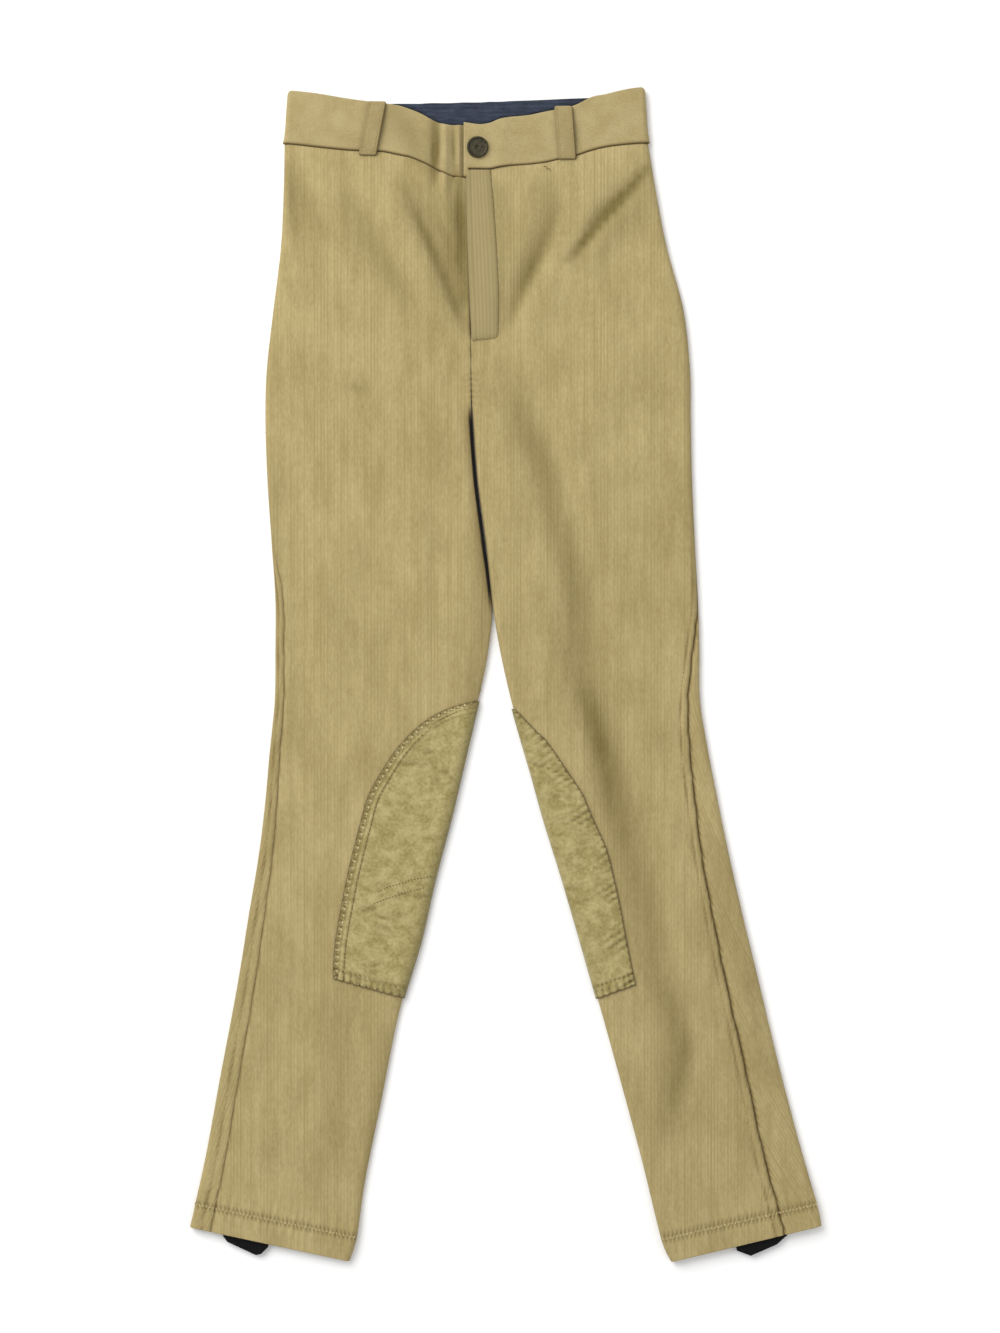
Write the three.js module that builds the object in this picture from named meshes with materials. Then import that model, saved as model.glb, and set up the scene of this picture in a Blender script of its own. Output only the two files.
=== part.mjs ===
import * as THREE from 'three';

// Child's riding jodhpurs laid flat with the front up, built from the pieces a maker cuts.
// Millimetres, +X to the viewer's right, +Y towards the waist, +Z up from the surface they lie on.
// "Right" and "left" are the wearer's, so the right leg lies on the viewer's left.

// Cloth thickness and seams
const seamGap = 0.34;          // between two pieces sewn edge to edge
const clothWall = 1.3;         // ribbed cotton
const hemWall = 2.1;           // the same cloth with its allowance turned up inside
const bandWall = 2.0;          // doubled waistband cloth
const liningWall = 1.0;        // facing on the inside of the back waistband
const patchWall = 1.1;         // suede
const flyWall = 1.2;
const loopWall = 1.4;
const zipWall = 0.9;
const layerGap = 0.45;         // under a piece that lies on a panel

// Heights of the laid garment
const restHeight = 6.0;        // top of the front cloth over the surface
const waistRise = 0.6;         // extra height at the waist seam
const waistRiseFrom = 300;
const waistRiseTo = 385;
const hemRise = 1.3;           // extra height where the hems hold the elastics
const edgeDepth = 4.5;         // how far in from the outer edge the fold becomes flat
const backRound = 3;           // the same on the underside of the inner leg edge

// Places along the leg, counted in rows of the leg tables
const crotchRow = 5;
const crotchBlend = 0.35;
const hemRow = 18;             // row of the hem stitching
const edgeRow = 19;            // row of the hem's folded edge
const hemStep = 0.06;          // rows between the single wall and the doubled one
const hemRiseRows = 0.8;
const slackRows = 2;           // rows over which the slack at the front waist dies out

const table = (names, rows) => {
  const keys = names.split(' ');
  return rows.map((row) => Object.fromEntries(keys.map((key, i) => [key, row[i]])));
};

// Leg sections from the waist seam to the hem: outer edge, inner edge (centre line above the
// crotch), distance of the side seam from the outer edge, and rounding of the inner edge
const rightLeg = table('outerX outerY innerX innerY seamIn innerRound', [
  [-165.5, 397.0, -27.0, 391.0, 0, 3],
  [-166.5, 355.5, -27.0, 352.0, 0, 3],
  [-168.5, 318.0, -27.0, 314.5, 0, 3],
  [-174.0, 273.0, -26.5, 271.5, 0, 3],
  [-179.0, 228.0, -26.0, 228.0, 0, 3],
  [-180.0, 190.5, -25.5, 196.5, 0, 6],
  [-178.5, 145.5, -22.5, 145.5, 0, 10],
  [-175.5, 100.5, -16.5, 97.0, 2, 10],
  [-172.5, 55.5, -11.0, 52.0, 6, 9],
  [-172.5, 18.0, -14.0, 12.0, 6.5, 7],
  [-173.0, -19.5, -23.0, -28.5, 7, 5],
  [-177.0, -60.5, -33.5, -73.5, 8, 4],
  [-180.0, -94.5, -42.0, -109.5, 9, 4],
  [-185.0, -135.5, -53.5, -153.0, 10.5, 4],
  [-192.5, -180.5, -64.5, -201.0, 12, 4],
  [-201.0, -233.0, -80.0, -253.5, 13, 4],
  [-213.0, -297.0, -93.0, -318.0, 14, 4],
  [-224.0, -357.0, -105.5, -379.5, 15, 4],
  [-232.5, -396.5, -111.5, -421.5, 15.5, 4],
  [-236.5, -414.0, -117.0, -439.5, 16, 4],
]);
const leftLeg = table('outerX outerY innerX innerY seamIn innerRound', [
  [106.5, 397.5, -27.0, 391.0, 0, 3],
  [113.5, 355.5, -27.0, 352.0, 0, 3],
  [121.0, 318.0, -27.0, 314.5, 0, 3],
  [133.0, 273.0, -26.5, 271.5, 0, 3],
  [138.0, 228.0, -26.0, 228.0, 0, 3],
  [138.5, 190.5, -25.0, 196.5, 0, 3],
  [139.5, 145.5, -20.5, 145.5, 0, 3],
  [141.5, 100.5, -14.0, 97.0, 0, 3],
  [144.0, 55.5, -9.0, 52.0, 1, 3],
  [145.0, 18.0, -3.0, 12.0, 5, 3],
  [145.5, -19.5, 6.5, -28.5, 9, 3],
  [151.5, -57.0, 19.5, -73.5, 13.5, 3],
  [158.0, -90.5, 29.5, -109.5, 16.5, 3],
  [166.5, -132.0, 43.0, -153.0, 20, 3],
  [177.0, -178.5, 57.0, -201.0, 22, 3],
  [189.0, -228.0, 72.5, -255.5, 24, 3],
  [204.5, -292.5, 89.0, -315.5, 25, 3],
  [219.5, -349.5, 103.0, -368.0, 28, 3],
  [233.0, -396.5, 116.5, -423.0, 29, 3],
  [236.5, -413.0, 124.0, -440.0, 28.5, 3],
]);

// Waistband edges: top of the back, top of the front, and the front waist seam
const rightWaist = table('x backTop frontTop frontSeam', [
  [-165.5, 437, 437, 397],
  [-141, 434.5, 434.5, 394.5],
  [-116, 430.5, 430.5, 392],
  [-91.5, 427.5, 427.5, 391],
  [-79.5, 427.5, 425.5, 388.5],
  [-72, 427.5, 423, 387],
  [-64.5, 427.5, 420, 384],
  [-57, 428, 416, 380.5],
  [-49.5, 428, 412.5, 376.5],
  [-42, 428, 411, 373],
  [-32, 428.5, 411, 371.5],
  [-8, 429, 411, 371.5],
]);
const leftWaist = table('x backTop frontTop frontSeam', [
  [-32, 428.5, 413, 378],
  [-19.5, 428.5, 411.5, 378],
  [-12, 429, 412.5, 378],
  [-4.5, 429, 415.5, 379.5],
  [3, 429.5, 417, 380.5],
  [18, 430, 418.5, 381.5],
  [29.5, 430.5, 421, 383],
  [40.5, 431, 423, 385.5],
  [52, 431.5, 426, 388],
  [64.5, 432, 432, 392],
  [74.5, 434, 434, 394.5],
  [85.5, 436.5, 436.5, 396],
  [96, 438.5, 438.5, 397],
  [106.5, 439.5, 439.5, 397.5],
]);
const bandLean = 2;            // how much the band's top corner sits inside its lower one
const bandLeanReach = 40;
const bandProud = 0.5;         // the doubled band stands over the cloth beside it
const bandArcDepth = 4.5;
const overlapEdge = -31.5;     // free end of the left band over the right one
const underlapEnd = -8;
const underlapTop = 6.0;       // top of the right band where it passes under the left one
const underlapSeam = 380;
const underlapFrom = -41;
const underlapTo = -33;
const overlapTop = 8.4;
const overlapFlat = -6;        // the left band comes down to the cloth again from here
const overlapDown = 12;
const crumpleFrom = -66;       // the right band needs closer columns from here to its end
const underlapSeamFrom = -32;  // its lower edge rises to clear the front over this run
const underlapSeamRun = 3;

// Creases, each through three places: depth is negative for a trough, half is its half width,
// and shoulder is the share of the depth that rises beside it
const creases = table('x1 y1 x2 y2 x3 y3 depth half shoulder', [
  [-163, 383, -154, 359, -132, 322, -1.0, 9, 0.4],
  [-128, 363, -102, 325, -66, 271, -0.9, 12, 0.5],
  [-64, 371, -60, 337, -29, 267, -1.7, 9, 0.5],
  [108, 380, 78, 353, 46, 316, -1.5, 8, 0.5],
  [45, 353, 22, 318, 6, 267, -1.3, 10, 0.4],
  [13, 207, 20, 168, 51, 72, -0.8, 14, 0.4],
  [51, 74, 69, -12, 100, -132, -0.9, 16, 0.5],
  [70, -64, 94, -132, 117, -233, -0.8, 13, 0.4],
  [112, -214, 132, -274, 118, -330, -0.8, 14, 0.4],
  [-160, 175, -158, 85, -155, -64, -0.6, 9, 0.4],
]);
// Short upright crumples where the band is drawn in beside the snap
const crumples = table('x1 y1 x2 y2 x3 y3 depth half shoulder', [
  [-57, 420, -55, 400, -56, 372, -1.2, 5, 0.3],
  [-47, 418, -46, 398, -47, 366, 1.9, 4.5, 0],
  [-41.5, 416, -41.5, 398, -42, 372, -0.9, 3, 0],
  [-37, 414, -37, 396, -36, 376, 1.3, 3, 0],
]);

// Fly strip: left and right edges from the band down
const flyEdges = table('leftX leftY rightX rightY', [
  [-30.0, 377.3, -11.0, 377.3],
  [-29.0, 325.5, -7.5, 333.0],
  [-27.0, 275.5, -5.0, 283.0],
  [-25.5, 249.0, -5.5, 251.5],
]);
const zipHalf = 11;
const zipTop = 370;
const zipBottom = 262;

// Belt loops: centre of the upper and the lower end
const loopWidth = 13.5;
const loopStand = 0.9;         // the loop's middle stands off the band this much more
const loopTilt = 0.3;          // how far a leaning loop's ends follow its lean
const beltLoops = {
  belt_loop_right: { topX: -96, topY: 428.5, lowX: -103.5, lowY: 388 },
  belt_loop_left: { topX: 43, topY: 425, lowX: 46, lowY: 385 },
};

// Knee patches: rows of the leg at the inner edge and at the patch's outer edge, and the
// distance between the two
const rightPatch = table('edgeAt sideAt reach', [
  [9.80, 9.80, 4],
  [10.05, 9.97, 23],
  [10.35, 10.24, 39],
  [10.85, 10.66, 52.5],
  [11.35, 11.14, 60.5],
  [11.90, 11.69, 66],
  [12.45, 12.27, 66.5],
  [13.00, 12.87, 66],
  [13.55, 13.45, 65.5],
  [14.10, 14.03, 64],
  [14.50, 14.45, 60],
  [14.81, 14.70, 56],
]);
const leftPatch = table('edgeAt sideAt reach', [
  [9.94, 9.94, 3],
  [10.35, 10.30, 13],
  [10.60, 10.51, 19.5],
  [11.00, 10.91, 26],
  [11.60, 11.54, 34],
  [12.10, 12.06, 36.5],
  [12.65, 12.62, 39.5],
  [13.15, 13.13, 38.5],
  [13.60, 13.58, 37],
  [14.10, 14.07, 34.5],
  [14.55, 14.54, 32.5],
  [14.78, 14.71, 32],
]);
const patchTipGap = 0.3;       // the patch stops this far before the inseam

// Black elastics that pass under the shoe, folded flat between the hem's two walls
const elasticBottom = 2.55;
const elasticThick = 2.2;
const elastics = {
  stirrup_right: [[-216, -399], [-211.5, -421], [-208.5, -425], [-187, -435], [-183, -434],
    [-178, -429], [-173, -405]],
  stirrup_left: [[168, -406], [173, -431.5], [183.5, -435.5], [203, -427], [208, -422.5],
    [211, -420], [213, -397]],
};

// Snap cap
const snapX = -21;
const snapY = 394;
const snapRadius = 8;
const snapRim = 1.1;
const snapHeight = 2.4;
const snapSides = 24;

const colours = {
  cloth: 0xbba774,
  band: 0xb8a676,
  fly: 0xae9c6c,
  loop: 0xaa986a,
  suede: 0xab9d66,
  navy: 0x434c64,
  tape: 0xa5956a,
  elastic: 0x252422,
  brass: 0x494736,
};

const clamp01 = (value) => Math.min(1, Math.max(0, value));
const smoothStep = (value) => clamp01(value) ** 2 * (3 - 2 * clamp01(value));
const mix = (a, b, share) => a + (b - a) * share;
const spread = (from, to, steps) => (
  Array.from({ length: steps + 1 }, (_, i) => mix(from, to, i / steps))
);

// Smooth curve through the rows of a table, at a row number that need not be whole
function along(rows, key, row) {
  const last = rows.length - 1;
  const i = Math.max(0, Math.min(Math.floor(row), last - 1));
  const f = row - i;
  const value = (n) => rows[Math.max(0, Math.min(last, n))][key];
  const [a, b, c, d] = [value(i - 1), value(i), value(i + 1), value(i + 2)];
  return b + 0.5 * f * (c - a + f * (2 * a - 5 * b + 4 * c - d + f * (3 * (b - c) + d - a)));
}

// The same curve, read at a place across the garment
function across(rows, key, x) {
  const last = rows.length - 1;
  let i = 0;
  while (i < last - 1 && x > rows[i + 1].x) {
    i += 1;
  }
  const share = clamp01((x - rows[i].x) / (rows[i + 1].x - rows[i].x));
  return along(rows, key, i + share);
}

// Height that one crease adds at a place
function creaseHeight(crease, x, y) {
  const legs = [
    [crease.x1, crease.y1, crease.x2, crease.y2],
    [crease.x2, crease.y2, crease.x3, crease.y3],
  ];
  const lengths = legs.map(([ax, ay, bx, by]) => Math.hypot(bx - ax, by - ay));
  let nearest = Infinity;
  let place = 0;
  legs.forEach(([ax, ay, bx, by], i) => {
    const share = clamp01(((x - ax) * (bx - ax) + (y - ay) * (by - ay)) / lengths[i] ** 2);
    const distance = Math.hypot(x - mix(ax, bx, share), y - mix(ay, by, share));
    if (distance < nearest) {
      nearest = distance;
      place = (share * lengths[i] + (i ? lengths[0] : 0)) / (lengths[0] + lengths[1]);
    }
  });
  const q = nearest / crease.half;
  const beside = Math.exp(-((q - 2) ** 2)) * crease.shoulder;
  return crease.depth * (Math.exp(-(q ** 2)) - beside) * Math.sqrt(Math.sin(Math.PI * clamp01(place)));
}

// Top of the front cloth over the surface
function topHeight(x, y) {
  const rise = waistRise * smoothStep((y - waistRiseFrom) / (waistRiseTo - waistRiseFrom));
  const relief = [...creases, ...crumples].reduce((sum, crease) => sum + creaseHeight(crease, x, y), 0);
  return restHeight + rise + relief;
}

const quarterArc = (a, b) => (Math.PI / 2) * Math.sqrt((a * a + b * b) / 2);

// One flattened section of a leg. Its outline is walked from the outer edge's tip: positive
// lengths run over the top and negative ones along the underside, both to the inner edge's tip.
function legSection(rows, row) {
  const outer = new THREE.Vector2(along(rows, 'outerX', row), along(rows, 'outerY', row));
  const inner = new THREE.Vector2(along(rows, 'innerX', row), along(rows, 'innerY', row));
  const direction = inner.clone().sub(outer);
  const width = direction.length();
  direction.normalize();
  const closed = smoothStep((row - crotchRow + crotchBlend) / (2 * crotchBlend));
  const hemLift = hemRise * smoothStep((row - hemRow + hemRiseRows) / hemRiseRows);
  const ground = (a) => outer.clone().addScaledVector(direction, a);
  const height = (a) => topHeight(ground(a).x, ground(a).y) + hemLift;
  const outerMid = height(edgeDepth) / 2;
  const outerArc = quarterArc(edgeDepth, outerMid);
  const topRound = along(rows, 'innerRound', row);
  const innerMid = height(width - topRound) / 2;

  const sideOf = (length) => (length < 0 ? backRound : topRound);
  const endArc = (round) => mix(round, quarterArc(round, innerMid), closed);
  const reach = (side) => outerArc + width - edgeDepth - sideOf(side) + endArc(sideOf(side));

  function place(length) {
    const top = length >= 0;
    const far = Math.abs(length);
    const round = sideOf(length);
    const flat = width - edgeDepth - round;
    if (far < outerArc) {
      const turn = (far / outerArc) * (Math.PI / 2);
      return [edgeDepth * (1 - Math.cos(turn)), outerMid * (1 + (top ? 1 : -1) * Math.sin(turn))];
    }
    if (far < outerArc + flat) {
      const a = edgeDepth + far - outerArc;
      return [a, top ? height(a) : 0];
    }
    const turn = Math.min(1, (far - outerArc - flat) / endArc(round)) * (Math.PI / 2);
    const a = width - round + (round - (1 - closed) * (seamGap / 2)) * Math.sin(turn);
    const drop = closed * (1 - Math.cos(turn));
    return [a, top ? mix(height(a), innerMid, drop) : innerMid * drop];
  }

  const seamIn = along(rows, 'seamIn', row);
  const seam = seamIn < edgeDepth ? (seamIn * outerArc) / edgeDepth : seamIn + outerArc - edgeDepth;
  return { row, ground, place, reach, outerArc, seam, topRound };
}

// Point of a section's outline moved out by a distance along the outline's own normal
function sectionPoint(section, length, out) {
  const step = 0.05;
  const [a, z] = section.place(length);
  const [beforeA, beforeZ] = section.place(length - step);
  const [afterA, afterZ] = section.place(length + step);
  const normal = new THREE.Vector2(beforeZ - afterZ, afterA - beforeA).normalize();
  const ground = section.ground(a + normal.x * out);
  return new THREE.Vector3(ground.x, ground.y, z + normal.y * out);
}

// Closed wall between two grids of points that match row by row
function wallBetween(outside, inside) {
  const rowCount = outside.length;
  const columnCount = outside[0].length;
  const points = [...outside.flat(), ...inside.flat()];
  const offset = rowCount * columnCount;
  const at = (i, j) => i * columnCount + j;
  const faces = [];
  const quad = (a, b, c, d) => faces.push([a, b, c], [a, c, d]);
  for (let i = 0; i < rowCount - 1; i += 1) {
    for (let j = 0; j < columnCount - 1; j += 1) {
      quad(at(i, j), at(i + 1, j), at(i + 1, j + 1), at(i, j + 1));
      quad(offset + at(i, j), offset + at(i, j + 1), offset + at(i + 1, j + 1), offset + at(i + 1, j));
    }
  }
  const rim = (a, b) => quad(a, b, offset + b, offset + a);
  for (let i = 0; i < rowCount - 1; i += 1) {
    rim(at(i + 1, 0), at(i, 0));
    rim(at(i, columnCount - 1), at(i + 1, columnCount - 1));
  }
  for (let j = 0; j < columnCount - 1; j += 1) {
    rim(at(0, j), at(0, j + 1));
    rim(at(rowCount - 1, j + 1), at(rowCount - 1, j));
  }
  const volume = faces.reduce((sum, [a, b, c]) => {
    const normal = new THREE.Vector3().crossVectors(points[b], points[c]);
    return sum + points[a].dot(normal);
  }, 0);
  const turned = volume < 0 ? faces.map(([a, b, c]) => [a, c, b]) : faces;
  const geometry = new THREE.BufferGeometry().setFromPoints(points);
  geometry.setIndex(turned.flat());
  geometry.computeVertexNormals();
  return geometry;
}

// Slack of the front cloth at the waist: how far it sags below the straight seam of the back
function frontSlack(rows, waist, x, row) {
  const top = rows[0];
  const straight = mix(top.outerY, top.innerY, clamp01((x - top.outerX) / (top.innerX - top.outerX)));
  const fade = clamp01(1 - row / slackRows) ** 2;
  return (across(waist, 'frontSeam', x) - straight) * fade;
}

const panelRows = [
  ...spread(0, 4, 8),
  4.35,
  crotchRow - crotchBlend,
  crotchRow,
  crotchRow + crotchBlend,
  5.7,
  ...spread(6, hemRow, 20),
  hemRow + hemStep,
  edgeRow,
];

function panelGeometry(rows, columnsOf, slack) {
  const outside = [];
  const inside = [];
  panelRows.forEach((row) => {
    const section = legSection(rows, row);
    const wall = row > hemRow ? hemWall : clothWall;
    const sag = (point) => {
      point.y += slack(point.x, row) - (row === 0 ? seamGap / 2 : 0);
      return point;
    };
    const lengths = columnsOf(section);
    outside.push(lengths.map((length) => sag(sectionPoint(section, length, 0))));
    inside.push(lengths.map((length) => sag(sectionPoint(section, length, -wall))));
  });
  return wallBetween(outside, inside);
}

// Front: from the side seam over the top to the centre line or the inseam
function frontGeometry(rows, waist) {
  const columns = (section) => {
    const start = section.seam + seamGap / 2;
    const flatFrom = Math.max(section.outerArc, start + edgeDepth);
    const end = section.reach(1);
    const roundFrom = end - section.topRound;
    return [
      ...spread(start, flatFrom, 3),
      ...spread(flatFrom, roundFrom, 11).slice(1),
      ...spread(roundFrom, end - seamGap / 2, 4).slice(1),
    ];
  };
  return panelGeometry(rows, columns, (x, row) => frontSlack(rows, waist, x, row));
}

// Back: from the side seam round the outer edge and along the underside
function backGeometry(rows) {
  const columns = (section) => {
    const start = section.seam - seamGap / 2;
    const turnFrom = Math.min(section.outerArc, start - 0.8);
    const end = section.reach(-1);
    return [
      ...spread(start, turnFrom, 2),
      ...spread(turnFrom, -section.outerArc, 5).slice(1),
      ...spread(-section.outerArc, backRound - end, 2).slice(1),
      ...spread(backRound - end, seamGap / 2 - end, 3).slice(1),
    ];
  };
  return panelGeometry(rows, columns, () => 0);
}

// Top of the waistband: it stands proud of the cloth, and is set by the overlap at the snap
const bandTop = (x, y) => topHeight(x, y) + bandProud;
const rightBandTop = (x, y) => {
  const under = smoothStep((x - underlapFrom) / (underlapTo - underlapFrom));
  return mix(bandTop(x, y), underlapTop, under);
};
const leftBandTop = (x, y) => {
  const clear = smoothStep((x - overlapFlat) / (overlapDown - overlapFlat));
  return mix(overlapTop, bandTop(x, y), clear);
};

const bandRows = spread(0, 1, 4);
const arcTurns = spread(0, Math.PI / 2, 4).slice(0, -1);

// One front half of the waistband, from the side seam at half height over to its free end
function frontBandGeometry(waist, outerX, places, topOf, seamOf) {
  const side = Math.sign(outerX);
  const wallAt = (out) => bandRows.map((share) => {
    const lean = (x) => {
      const near = clamp01(1 - Math.abs(x - outerX) / bandLeanReach);
      return x - side * bandLean * (1 - share) * near;
    };
    const yAt = (x) => mix(across(waist, 'frontTop', x), seamOf(x) + seamGap / 2, share);
    const level = (x) => topOf(x, yAt(x));
    const crown = level(outerX - side * bandArcDepth);
    const arc = arcTurns.map((turn) => {
      const depth = bandArcDepth - (bandArcDepth + out) * Math.cos(turn);
      const half = crown / 2;
      const x = lean(outerX) - side * depth;
      return new THREE.Vector3(x, yAt(outerX), half + (half + out) * Math.sin(turn) + seamGap / 2);
    });
    return [...arc, ...places.map((x) => new THREE.Vector3(lean(x), yAt(x), level(x) + out))];
  });
  return wallBetween(wallAt(0), wallAt(-bandWall));
}

const backSeamAt = (x) => {
  const rows = x < rightLeg[0].innerX ? rightLeg : leftLeg;
  const top = rows[0];
  return mix(top.outerY, top.innerY, clamp01((x - top.outerX) / (top.innerX - top.outerX)));
};
const backTopAt = (x) => across(x < overlapEdge ? rightWaist : leftWaist, 'backTop', x);

function backBandGeometry() {
  const rightX = rightLeg[0].outerX;
  const leftX = leftLeg[0].outerX;
  const wallAt = (out) => spread(0, 1, 2).map((share) => {
    const yAt = (x) => mix(backTopAt(x), backSeamAt(x) + seamGap / 2, share);
    const half = (restHeight + waistRise + bandProud) / 2;
    const end = (outerX) => arcTurns.map((turn) => {
      const side = Math.sign(outerX);
      const inset = side * bandLean * (1 - share);
      const depth = bandArcDepth - (bandArcDepth + out) * Math.cos(turn);
      const z = half - (half + out) * Math.sin(turn) - seamGap / 2;
      return new THREE.Vector3(outerX - inset - side * depth, yAt(outerX), Math.max(z, -out));
    });
    const flat = spread(rightX + bandArcDepth + bandLean, leftX - bandArcDepth - bandLean, 14);
    return [
      ...end(rightX),
      ...flat.map((x) => new THREE.Vector3(x, yAt(x), -out)),
      ...end(leftX).reverse(),
    ];
  });
  return wallBetween(wallAt(0), wallAt(-bandWall));
}

// Facing that lies on the back band's inner side and shows above the front
function liningGeometry() {
  const margin = 9;
  const bottom = bandWall + seamGap;
  const places = spread(rightLeg[0].outerX + margin, leftLeg[0].outerX - margin, 14);
  const layer = (z) => [0, 1].map((share) => places.map((x) => {
    const y = mix(backTopAt(x) - 0.6, backSeamAt(x) + 1, share);
    return new THREE.Vector3(x, y, z);
  }));
  return wallBetween(layer(bottom + liningWall), layer(bottom));
}

// A layer on the front cloth, given as a grid of ground points
function layerGeometry(grid, topOf, low, high) {
  const point = ([x, y], out) => new THREE.Vector3(x, y, topOf(x, y) + out);
  const lift = (out) => grid.map((row) => row.map((ground) => point(ground, out)));
  return wallBetween(lift(high), lift(low));
}

function flyGeometry() {
  const grid = spread(0, flyEdges.length - 1, 12).map((row) => [0, 1 / 3, 2 / 3, 1].map((share) => {
    const x = mix(along(flyEdges, 'leftX', row), along(flyEdges, 'rightX', row), share);
    const y = mix(along(flyEdges, 'leftY', row), along(flyEdges, 'rightY', row), share);
    return [x, y];
  }));
  return layerGeometry(grid, topHeight, layerGap, layerGap + flyWall);
}

function zipGeometry() {
  const middle = rightLeg[0].innerX;
  const places = spread(middle - zipHalf, middle + zipHalf, 3);
  const grid = spread(zipTop, zipBottom, 10).map((y) => places.map((x) => [x, y]));
  const high = -clothWall - layerGap;
  return layerGeometry(grid, topHeight, high - zipWall, high);
}

function loopGeometry(loop) {
  const topOf = (x, y) => {
    const share = clamp01((loop.topY - y) / (loop.topY - loop.lowY));
    return bandTop(x, y) + loopStand * Math.sin(Math.PI * share);
  };
  const grid = spread(0, 1, 6).map((share) => [-0.5, 0, 0.5].map((aside) => [
    mix(loop.topX, loop.lowX, share) + aside * loopWidth,
    mix(loop.topY, loop.lowY, share) + aside * (loop.topX - loop.lowX) * loopTilt,
  ]));
  return layerGeometry(grid, topOf, layerGap, layerGap + loopWall);
}

// Suede patch made from the leg's own points, moved out
function patchGeometry(legRows, patch) {
  const places = spread(0, patch.length - 1, 2 * (patch.length - 1));
  const layer = (out) => places.map((row) => spread(0, 1, 8).map((share, i) => {
    const legRow = mix(along(patch, 'sideAt', row), along(patch, 'edgeAt', row), share);
    const section = legSection(legRows, legRow);
    const end = section.reach(1);
    const start = end - along(patch, 'reach', row);
    const turn = Math.max(end - section.topRound, start + patchTipGap);
    const length = i < 4 ? mix(start, turn, i / 4) : mix(turn, end - patchTipGap, (i - 4) / 4);
    return sectionPoint(section, length, out);
  }));
  return wallBetween(layer(layerGap + patchWall), layer(layerGap));
}

function elasticGeometry(outline) {
  const shape = new THREE.Shape(outline.map(([x, y]) => new THREE.Vector2(x, y)));
  const geometry = new THREE.ExtrudeGeometry(shape, { depth: elasticThick, bevelEnabled: false });
  geometry.translate(0, 0, elasticBottom);
  return geometry;
}

// Round cap with a raised rim, a shallow dish and a small dimple, turned about its axis
function snapGeometry() {
  const profile = [
    [0, 0],
    [snapRadius - 0.6, 0],
    [snapRadius, 0.6],
    [snapRadius, snapHeight - 0.9],
    [snapRadius - 0.7, snapHeight],
    [snapRadius - snapRim - 0.5, snapHeight - 0.1],
    [snapRadius - snapRim - 1.2, snapHeight - 0.7],
    [1.6, snapHeight - 0.4],
    [1.0, snapHeight - 0.8],
    [0, snapHeight - 0.9],
  ];
  const geometry = new THREE.LatheGeometry(profile.map(([r, z]) => new THREE.Vector2(r, z)), snapSides);
  geometry.rotateX(Math.PI / 2);
  geometry.translate(snapX, snapY, overlapTop + seamGap);
  return geometry;
}

const jodhpurs = new THREE.Group();
jodhpurs.name = 'jodhpurs';

function addPiece(name, geometry, color, roughness = 0.9, metalness = 0) {
  const piece = new THREE.Mesh(geometry, new THREE.MeshStandardMaterial({ color, roughness, metalness }));
  piece.name = name;
  jodhpurs.add(piece);
}

addPiece('front_right', frontGeometry(rightLeg, rightWaist), colours.cloth);
addPiece('front_left', frontGeometry(leftLeg, leftWaist), colours.cloth);
addPiece('back_right', backGeometry(rightLeg), colours.cloth);
addPiece('back_left', backGeometry(leftLeg), colours.cloth);

const rightPlaces = [
  ...spread(rightLeg[0].outerX + bandArcDepth, crumpleFrom, 10),
  ...spread(crumpleFrom, underlapEnd, 16).slice(1),
];
const leftPlaces = spread(leftLeg[0].outerX - bandArcDepth, overlapEdge, 22);
const rightSeam = (x) => {
  const rise = smoothStep((x - underlapSeamFrom) / underlapSeamRun);
  return mix(across(rightWaist, 'frontSeam', x), underlapSeam, rise);
};
const leftSeam = (x) => across(leftWaist, 'frontSeam', x);
const rightBand = frontBandGeometry(rightWaist, rightLeg[0].outerX, rightPlaces, rightBandTop, rightSeam);
const leftBand = frontBandGeometry(leftWaist, leftLeg[0].outerX, leftPlaces, leftBandTop, leftSeam);
addPiece('waistband_front_right', rightBand, colours.band);
addPiece('waistband_front_left', leftBand, colours.band);
addPiece('waistband_back', backBandGeometry(), colours.band);
addPiece('waistband_lining', liningGeometry(), colours.navy);

addPiece('fly', flyGeometry(), colours.fly);
addPiece('zip_tape', zipGeometry(), colours.tape);
Object.entries(beltLoops).forEach(([name, loop]) => addPiece(name, loopGeometry(loop), colours.loop));
addPiece('knee_patch_right', patchGeometry(rightLeg, rightPatch), colours.suede, 0.95);
addPiece('knee_patch_left', patchGeometry(leftLeg, leftPatch), colours.suede, 0.95);
Object.entries(elastics).forEach(([name, outline]) => {
  addPiece(name, elasticGeometry(outline), colours.elastic, 0.8);
});
addPiece('snap_cap', snapGeometry(), colours.brass, 0.45, 0.85);

export default jodhpurs;
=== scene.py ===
import math
import random

import bmesh
import bpy
import numpy as np
from mathutils import Matrix, Vector


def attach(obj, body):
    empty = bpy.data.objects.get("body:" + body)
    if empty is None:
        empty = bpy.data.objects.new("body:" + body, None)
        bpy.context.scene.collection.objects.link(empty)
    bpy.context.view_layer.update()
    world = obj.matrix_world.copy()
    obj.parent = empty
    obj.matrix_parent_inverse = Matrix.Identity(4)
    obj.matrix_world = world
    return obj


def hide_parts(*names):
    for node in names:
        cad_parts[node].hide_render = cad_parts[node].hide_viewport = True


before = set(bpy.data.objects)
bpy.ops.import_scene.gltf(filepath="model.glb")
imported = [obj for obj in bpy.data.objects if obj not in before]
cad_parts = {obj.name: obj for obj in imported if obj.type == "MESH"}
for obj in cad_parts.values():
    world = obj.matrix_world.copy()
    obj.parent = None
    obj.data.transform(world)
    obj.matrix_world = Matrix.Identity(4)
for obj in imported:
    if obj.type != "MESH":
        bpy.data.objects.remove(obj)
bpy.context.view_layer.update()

# Child's riding jodhpurs laid flat with the front up. Sizes below are in millimetres in the
# frame's own axes: +X to the viewer's right, +Y towards the waist, +Z up. "Right" and "left"
# are the wearer's.
mm = 0.001


# Camera and light

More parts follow.
